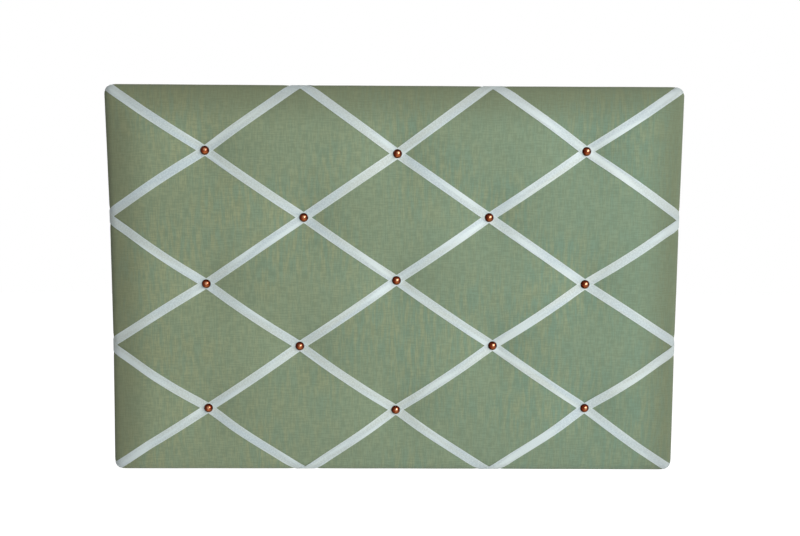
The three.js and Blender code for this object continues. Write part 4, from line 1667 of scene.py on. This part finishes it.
@dataclass
class DomedNails:
    """The nails at the crossings, all one mesh of instances."""

    lattice: Lattice
    dome_height: float = 3.6 * MM
    dome_share: float = 0.92
    shank_radius: float = 0.8 * MM
    shank_length: float = 12 * MM
    shank_sides: int = 16
    # Directions, in the head's own frame, of the painted highlight and of the painted reflection.
    painted_highlight: Triple = (0.2, 0.28, 1.0)
    painted_reflection: Triple = (0.3, -0.85, 0.45)
    segments: int = 40
    rings: int = 24
    tilt: float = 0.05

    def dress(self) -> None:
        """Set the nails on the places of their solids."""
        names = [f"nail_{k + 1}" for k in range(len(self.lattice.nails))]
        boxes = [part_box(name) for name in names]
        radius = (boxes[0][1].x - boxes[0][0].x) / 2
        places = []
        for low, high in boxes:
            places.append(((low.x + high.x) / 2, low.y + self.dome_height, (low.z + high.z) / 2))
        nails = self._tree(radius).grow("domed_nails", new_mesh("nail_places", np.array(places), []))
        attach(nails, "board")
        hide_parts(*names)
        report(nails)

    def _tree(self, radius: float) -> GeometryTree:
        """Build the tree that makes a nail and sets it on every point.

        Args:
            radius: Radius of the head.

        Returns:
            The tree.
        """
        sizes = {
            "Head Radius": radius,
            "Head Height": self.dome_height,
            "Shank Radius": self.shank_radius,
            "Shank Length": self.shank_length,
        }
        tree = GeometryTree("nail_setter", sizes, COPPER)
        joined = tree.node("GeometryNodeJoinGeometry", {0: self._head(tree)})
        tree.nodes.links.new(self._shank(tree).socket, joined.socket.node.inputs[0])
        nail = tree.node("GeometryNodeSetShadeSmooth", {"Geometry": joined})
        leans = {
            0: (QUARTER - self.tilt, -self.tilt, 0.0),
            1: (QUARTER + self.tilt, self.tilt, 0.0),
            "Seed": SEED,
        }
        spin = tree.node("FunctionNodeRandomValue", leans, data_type="FLOAT_VECTOR")
        points = tree.node("GeometryNodeMeshToPoints", {0: tree.given("Geometry")})
        setting = {"Points": points, "Instance": nail, "Rotation": spin}
        tree.close(tree.node("GeometryNodeInstanceOnPoints", setting))
        return tree

    def _head(self, tree: GeometryTree) -> Value:
        """Press a ball into a dome, and note how far its places face the painted highlight and the
        painted reflection.

        Args:
            tree: The tree.

        Returns:
            The head.
        """
        counts = {"Segments": self.segments, "Rings": self.rings, "Radius": 1.0}
        ball = tree.node("GeometryNodeMeshUVSphere", counts)
        place = tree.node("GeometryNodeInputPosition")
        across = tree.node("ShaderNodeSeparateXYZ", {0: place})
        upper = across.beside("Z").above(0.0)
        hidden = math.sqrt(1 - self.dome_share**2)
        bulge = hidden**2 + self.dome_share**2 * upper * upper
        lifted = (bulge**0.5 - hidden) / (1 - hidden)
        pressed = tree.node("ShaderNodeCombineXYZ", {0: across, 1: across.beside("Y"), 2: lifted})
        dome = tree.node("GeometryNodeSetPosition", {"Geometry": ball, "Position": pressed})
        for name, way in ((CROWN, self.painted_highlight), (FOOT, self.painted_reflection)):
            ways = {0: place, 1: Vector(way).normalized()}
            facing = tree.node("ShaderNodeVectorMath", ways, "Value", operation="DOT_PRODUCT")
            marks = {"Geometry": dome, "Name": name, "Value": facing}
            dome = tree.node("GeometryNodeStoreNamedAttribute", marks, data_type="FLOAT")
        girth = tree.given("Head Radius")
        scale = tree.node("ShaderNodeCombineXYZ", {0: girth, 1: girth, 2: tree.given("Head Height")})
        return tree.node("GeometryNodeTransform", {"Geometry": dome, "Scale": scale})

    def _shank(self, tree: GeometryTree) -> Value:
        """Make the shank, which hangs down from the head.

        Args:
            tree: The tree.

        Returns:
            The shank.
        """
        length = tree.given("Shank Length")
        rod = {"Vertices": self.shank_sides, "Radius": tree.given("Shank Radius"), "Depth": length}
        shank = tree.node("GeometryNodeMeshCylinder", rod)
        down = tree.node("ShaderNodeCombineXYZ", {2: length * -0.5})
        return tree.node("GeometryNodeTransform", {"Geometry": shank, "Translation": down})


class Hand(Enum):
    """The two hangers."""

    LEFT = "left"
    RIGHT = "right"


@dataclass
class Hanger:
    """A D-ring hanger: a strap folded round the ring's bar, the ring and a screw."""

    hand: Hand
    strap_width: float = 10 * MM
    strap_wall: float = 0.8 * MM
    strap_bevel: float = 0.15 * MM
    strap_crease: float = math.radians(50)
    strap_lanes: int = 9
    end_rows: int = 9
    straight_rows: int = 12
    curl: float = math.radians(286)
    curl_rows: int = 41
    wire: float = 2.4 * MM
    wire_sides: int = 20
    bend: float = 3 * MM
    bend_points: int = 9
    arch_points: int = 33
    lean: float = math.radians(4)
    head_height: float = 2 * MM
    head_rim: float = 0.45
    head_power: float = 0.6
    head_rows: int = 10
    screw_sides: int = 36
    screw_crease: float = math.radians(40)
    shank_radius: float = 1.5 * MM
    tip: float = 3 * MM
    recess: float = 3.4 * MM
    recess_arms: int = 4
    slot_width: float = 0.75 * MM
    slot_depth: float = 1.1 * MM
    cutter_rise: float = 0.5 * MM
    cutter_scales: Pair = (1.1, 0.55)

    def dress(self) -> None:
        """Make the three pieces and put them on their bodies."""
        side = self.hand.value
        low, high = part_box(f"hanger_ring_{side}")
        bar = Vector(((low.x + high.x) / 2, high.y - self.wire / 2, low.z + self.wire / 2))
        half = (high.x - low.x - self.wire) / 2
        reach = (high.z - low.z - self.wire) / math.cos(self.lean)
        made = [
            (self._strap(bar), f"hanger_strap_{side}", "board"),
            (self._ring(bar, half, reach), f"hanger_ring_{side}", f"ring_{side}"),
            (self._screw(), f"hanger_screw_{side}", "board"),
        ]
        for piece, node, body in made:
            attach(piece, body)
            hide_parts(node)
            report(piece)

    def _strap(self, bar: Vector) -> bpy.types.Object:
        """Fold the strap from one strip with a round end.

        Args:
            bar: Middle of the ring's bar.

        Returns:
            The piece.
        """
        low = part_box(f"hanger_strap_{self.hand.value}")[0]
        eye = bar.y - low.y - self.strap_wall / 2
        straight = bar.z - low.z
        half = self.strap_width / 2
        ends = half - half * np.cos(np.linspace(0, QUARTER, self.end_rows))
        runs = np.concatenate([ends[1:], np.linspace(half, straight, self.straight_rows)[1:]])
        rows = [(run, 0.0) for run in runs]
        rows += [(straight, turn) for turn in np.linspace(0, self.curl, self.curl_rows)[1:]]
        points = []
        for run, turn in rows:
            wide = math.sqrt(max(half**2 - max(half - run, 0) ** 2, 0))
            y = bar.y - eye * math.cos(turn)
            z = low.z + run + eye * math.sin(turn)
            points += [(bar.x + lane * wide, y, z) for lane in np.linspace(-1, 1, self.strap_lanes)]
        faces = grid_quads(np.arange(len(points)).reshape(len(rows), self.strap_lanes))
        name = f"strap_{self.hand.value}"
        carrier = new_piece(name + "_strip", new_mesh(name, np.array(points), faces), NICKEL)
        wall = carrier.modifiers.new("wall", "SOLIDIFY")
        wall.thickness = self.strap_wall
        wall.offset = 0.0
        soften = carrier.modifiers.new("soften", "BEVEL")
        soften.width = self.strap_bevel
        soften.segments = 2
        piece = bake_modifiers(carrier, name)
        tidy(piece.data)
        piece.data.set_sharp_from_angle(angle=self.strap_crease)
        return piece

    def _ring(self, bar: Vector, half: float, reach: float) -> bpy.types.Object:
        """Bend the ring from round wire along its path.

        Args:
            bar: Middle of the ring's bar.
            half: Half of the ring's width.
            reach: How far the ring's arch is from its bar.

        Returns:
            The piece.
        """
        corner = np.linspace(-QUARTER, 0, self.bend_points)
        arch = np.linspace(0, math.pi, self.arch_points)
        right = np.stack([half + self.bend * (np.cos(corner) - 1), self.bend * (np.sin(corner) + 1)], -1)
        top = np.stack([half * np.cos(arch), reach - half + half * np.sin(arch)], -1)
        path = np.concatenate([right, top, right[::-1] * np.array([-1, 1])])
        out, up = math.sin(self.lean), math.cos(self.lean)
        points = [(bar.x + u, bar.y - v * out, bar.z + v * up) for u, v in path]
        line = bpy.data.meshes.new("ring_path")
        line.from_pydata(points, [(k, (k + 1) % len(points)) for k in range(len(points))], [])
        tree = GeometryTree(f"ring_bender_{self.hand.value}", {"Wire Radius": self.wire / 2}, NICKEL)
        curve = tree.node("GeometryNodeMeshToCurve", {0: tree.given("Geometry")})
        circle = {"Resolution": self.wire_sides, "Radius": tree.given("Wire Radius")}
        section = tree.node("GeometryNodeCurvePrimitiveCircle", circle)
        tube = tree.node("GeometryNodeCurveToMesh", {0: curve, 1: section})
        tree.close(tree.node("GeometryNodeSetShadeSmooth", {"Geometry": tube}))
        piece = tree.grow(f"ring_{self.hand.value}_wire", line)
        tidy(piece.data)
        return piece

    def _screw(self) -> bpy.types.Object:
        """Turn the screw and cut the cross recess into its head.

        Returns:
            The piece.
        """
        low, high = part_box(f"hanger_screw_{self.hand.value}")
        centre = Vector(((low.x + high.x) / 2, 0, (low.z + high.z) / 2))
        head = (high.x - low.x) / 2
        seat = high.y - self.head_height
        rim, dome = seat + self.head_rim * self.head_height, (1 - self.head_rim) * self.head_height
        shank = self.shank_radius
        profile = [(0.0, low.y), (shank, low.y + self.tip), (shank, seat), (head, seat)]
        for angle in np.linspace(0, QUARTER, self.head_rows)[:-1]:
            profile.append((head * math.cos(angle) ** self.head_power, rim + dome * math.sin(angle)))
        profile.append((0.0, high.y))
        points, faces = lathe(profile, self.screw_sides)
        name = f"screw_{self.hand.value}"
        mesh = new_mesh(name, points + np.array(centre), faces)
        tidy(mesh)
        carrier = new_piece(name + "_blank", mesh, NICKEL)
        cutter = new_piece(name + "_cutter", self._cross(centre, high.y))
        cut = carrier.modifiers.new("recess", "BOOLEAN")
        cut.operation = "DIFFERENCE"
        cut.solver = "EXACT"
        cut.object = cutter
        piece = bake_modifiers(carrier, name)
        bpy.data.objects.remove(cutter)
        shade_smooth(piece.data)
        piece.data.set_sharp_from_angle(angle=self.screw_crease)
        return piece

    def _cross(self, centre: Vector, top: float) -> bpy.types.Mesh:
        """Shape the cutter of the recess, a cross that tapers into the head.

        Args:
            centre: Axis of the screw.
            top: Level of the top of the head.

        Returns:
            The cutter's mesh.
        """
        arm, slot = self.recess / 2, self.slot_width / 2
        end = [(arm, -slot), (arm, slot), (slot, slot)]
        outline = []
        for _ in range(self.recess_arms):
            outline += end
            end = [(-v, u) for u, v in end]
        count = len(outline)
        levels = (top + self.cutter_rise, top - self.slot_depth)
        points = []
        for level, scale in zip(levels, self.cutter_scales):
            points += [(centre.x + u * scale, level, centre.z + v * scale) for u, v in outline]
        faces = [tuple(range(count)), tuple(range(2 * count - 1, count - 1, -1))]
        mesh = new_mesh("recess", np.array(points), faces + tube_quads(2, count))
        tidy(mesh)
        return mesh


@dataclass
class BackPanel:
    """Backing panel, the pins round its rim and the staples under it."""

    ribbon_names: list[str]
    pin_inset: float = 7 * MM
    pin_radius: float = 1.7 * MM
    pin_proud: float = 0.35 * MM
    pin_spacing: float = 88 * MM
    pin_segments: int = 20
    pin_rings: int = 10

    def dress(self) -> None:
        """Dress the panel and the staples, and drive the pins."""
        paint_node("backing_panel", HARDBOARD)
        for name in self.ribbon_names:
            for end in (1, 2):
                paint_node(f"{name}_staple_{end}", ZINC)
        pins = self._tree().grow("panel_pins", bpy.data.meshes.new("pin_start"))
        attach(pins, "board")
        report(pins)

    def _tree(self) -> GeometryTree:
        """Build the tree that spaces the pins round the panel's rim.

        Returns:
            The tree.
        """
        low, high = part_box("backing_panel")
        sizes = {
            "Width": high.x - low.x - 2 * self.pin_inset,
            "Height": high.z - low.z - 2 * self.pin_inset,
            "Pin Radius": self.pin_radius,
            "Spacing": self.pin_spacing,
        }
        tree = GeometryTree("pin_driver", sizes, ZINC)
        rim = {"Width": tree.given("Width"), "Height": tree.given("Height")}
        path = tree.node("GeometryNodeCurvePrimitiveQuadrilateral", rim)
        upright = {"Geometry": path, "Rotation": (QUARTER, 0, 0), "Translation": (0, high.y, 0)}
        behind = tree.node("GeometryNodeTransform", upright)
        spaced = {"Curve": behind, "Length": tree.given("Spacing")}
        line = tree.node("GeometryNodeResampleCurve", spaced, mode="LENGTH")
        points = tree.node("GeometryNodeCurveToPoints", {0: line}, mode="EVALUATED")
        ball = {
            "Segments": self.pin_segments,
            "Rings": self.pin_rings,
            "Radius": tree.given("Pin Radius"),
        }
        head = tree.node("GeometryNodeMeshUVSphere", ball)
        squat = (1.0, self.pin_proud / self.pin_radius, 1.0)
        flat = tree.node("GeometryNodeTransform", {"Geometry": head, "Scale": squat})
        pin = tree.node("GeometryNodeSetShadeSmooth", {"Geometry": flat})
        setting = {"Points": points, "Instance": pin}
        tree.close(tree.node("GeometryNodeInstanceOnPoints", setting))
        return tree


@dataclass(frozen=True)
class Lamp:
    """A soft lamp that faces the board: its name, place, power in watts and width."""

    name: str
    place: Triple
    power: float
    width: float

    def hang(self) -> None:
        """Put the lamp into the scene."""
        light = bpy.data.lights.new(self.name, "AREA")
        light.energy = self.power
        light.size = self.width
        lamp = bpy.data.objects.new(self.name, light)
        lamp.location = self.place
        lamp.rotation_euler = (-Vector(self.place)).to_track_quat("-Z", "Y").to_euler()
        bpy.context.scene.collection.objects.link(lamp)


@dataclass
class Studio:
    """Camera, lamps, white surround and floor."""

    eye: Triple = (-0.00197, -0.96066, 0.11542)
    turn: Triple = (83.895, -0.277, -0.455)
    focal_pixels: float = 900.0
    image_width: float = 800.0
    sensor: float = 36.0
    clip_start: float = 0.01
    surround: float = 0.17
    floor_level: float = -1.25
    floor_half: float = 9.0
    floor_paint: Rgba = (0.86, 0.86, 0.86, 1.0)
    floor_glow: float = 0.9
    lamps: tuple[Lamp, ...] = (
        Lamp("front_lamp", (0.33, -0.78, 0.16), 1.8, 0.2),
        Lamp("fill_lamp", (-0.1, -1.7, -1.1), 6.4, 1.5),
        Lamp("side_lamp", (3.1, -3.2, 2.0), 165.0, 3.0),
        Lamp("rear_lamp", (-0.9, 1.9, 1.0), 26.0, 1.0),
    )

    def dress(self) -> None:
        """Set up everything that isn't the board."""
        bpy.context.scene.view_settings.view_transform = "Standard"
        self._camera()
        self._world()
        self._floor()
        for lamp in self.lamps:
            lamp.hang()

    def _camera(self) -> None:
        """Place the camera where the photograph was taken from."""
        lens = bpy.data.cameras.new("camera")
        lens.sensor_width = self.sensor
        lens.lens = self.sensor * self.focal_pixels / self.image_width
        lens.clip_start = self.clip_start
        camera = bpy.data.objects.new("camera", lens)
        camera.location = self.eye
        camera.rotation_euler = [math.radians(angle) for angle in self.turn]
        bpy.context.scene.collection.objects.link(camera)
        bpy.context.scene.camera = camera

    def _world(self) -> None:
        """Light the board evenly, and show white where the surround is seen or mirrored."""
        world = bpy.data.worlds.new("surround")
        world.use_nodes = True
        bpy.context.scene.world = world
        graph = Graph(world.node_tree)
        soft = graph.node("ShaderNodeBackground", {"Color": WHITE, "Strength": self.surround})
        white = graph.node("ShaderNodeBackground", {"Color": WHITE, "Strength": 1.0})
        mixed = graph.node("ShaderNodeMixShader", {0: self._seen(graph), 1: soft, 2: white})
        graph.node("ShaderNodeOutputWorld", {"Surface": mixed})

    @staticmethod
    def _seen(graph: Graph) -> Value:
        """Give 1 where the camera, a mirror or glass shows a surface, and 0 where it only lights."""
        camera = graph.node("ShaderNodeLightPath", output="Is Camera Ray")
        return camera.above(camera.beside("Is Glossy Ray")).above(camera.beside("Is Transmission Ray"))

    def _floor(self) -> None:
        """Lay a pale floor below the hung board."""
        half, level = self.floor_half, self.floor_level
        corners = [(-half, -half, level), (half, -half, level), (half, half, level), (-half, half, level)]
        mesh = new_mesh("floor", np.array(corners), [(0, 1, 2, 3)])
        material = bpy.data.materials.new("pale_floor")
        material.use_nodes = True
        graph = Graph(material.node_tree)
        paint = graph.node("ShaderNodeBsdfDiffuse", {"Color": self.floor_paint})
        glow = graph.node("ShaderNodeEmission", {"Color": WHITE, "Strength": self.floor_glow})
        lit = graph.node("ShaderNodeAddShader", {0: paint, 1: glow})
        shown = graph.node("ShaderNodeMixShader", {0: self._seen(graph), 1: paint, 2: lit})
        graph.node("ShaderNodeOutputMaterial", {"Surface": shown})
        floor = new_piece("floor", mesh)
        mesh.materials.append(material)


def paint_node(name: str, finish: Finish) -> None:
    """Give a solid of the frame its finish.

    Args:
        name: The solid's name.
        finish: Its finish.
    """
    solid = bpy.data.objects[name]
    solid.data.materials.clear()
    solid.data.materials.append(finish.material())
    LOG.info("dressed %s in %s", name, finish.name)


def report(piece: bpy.types.Object) -> None:
    """Report a finished piece."""
    LOG.info("made %s with %d faces", piece.name, len(piece.data.polygons))


def main() -> None:
    """Dress the memo board and set up its studio."""
    logging.basicConfig(level=logging.INFO, format="%(message)s")
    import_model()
    Studio().dress()
    form = BoardForm.from_frame()
    lattice = Lattice(form)
    face = PaddedFace(form, lattice)
    face = replace(face, pillows=PillowCloth(face).settle())
    cover = PaddedBoard(face).dress()
    RibbonLattice(face).dress(cover)
    DomedNails(lattice).dress()
    BackPanel([ribbon.name for ribbon in lattice.ribbons]).dress()
    for hand in Hand:
        Hanger(hand).dress()


if __name__ == "__main__":
    main()
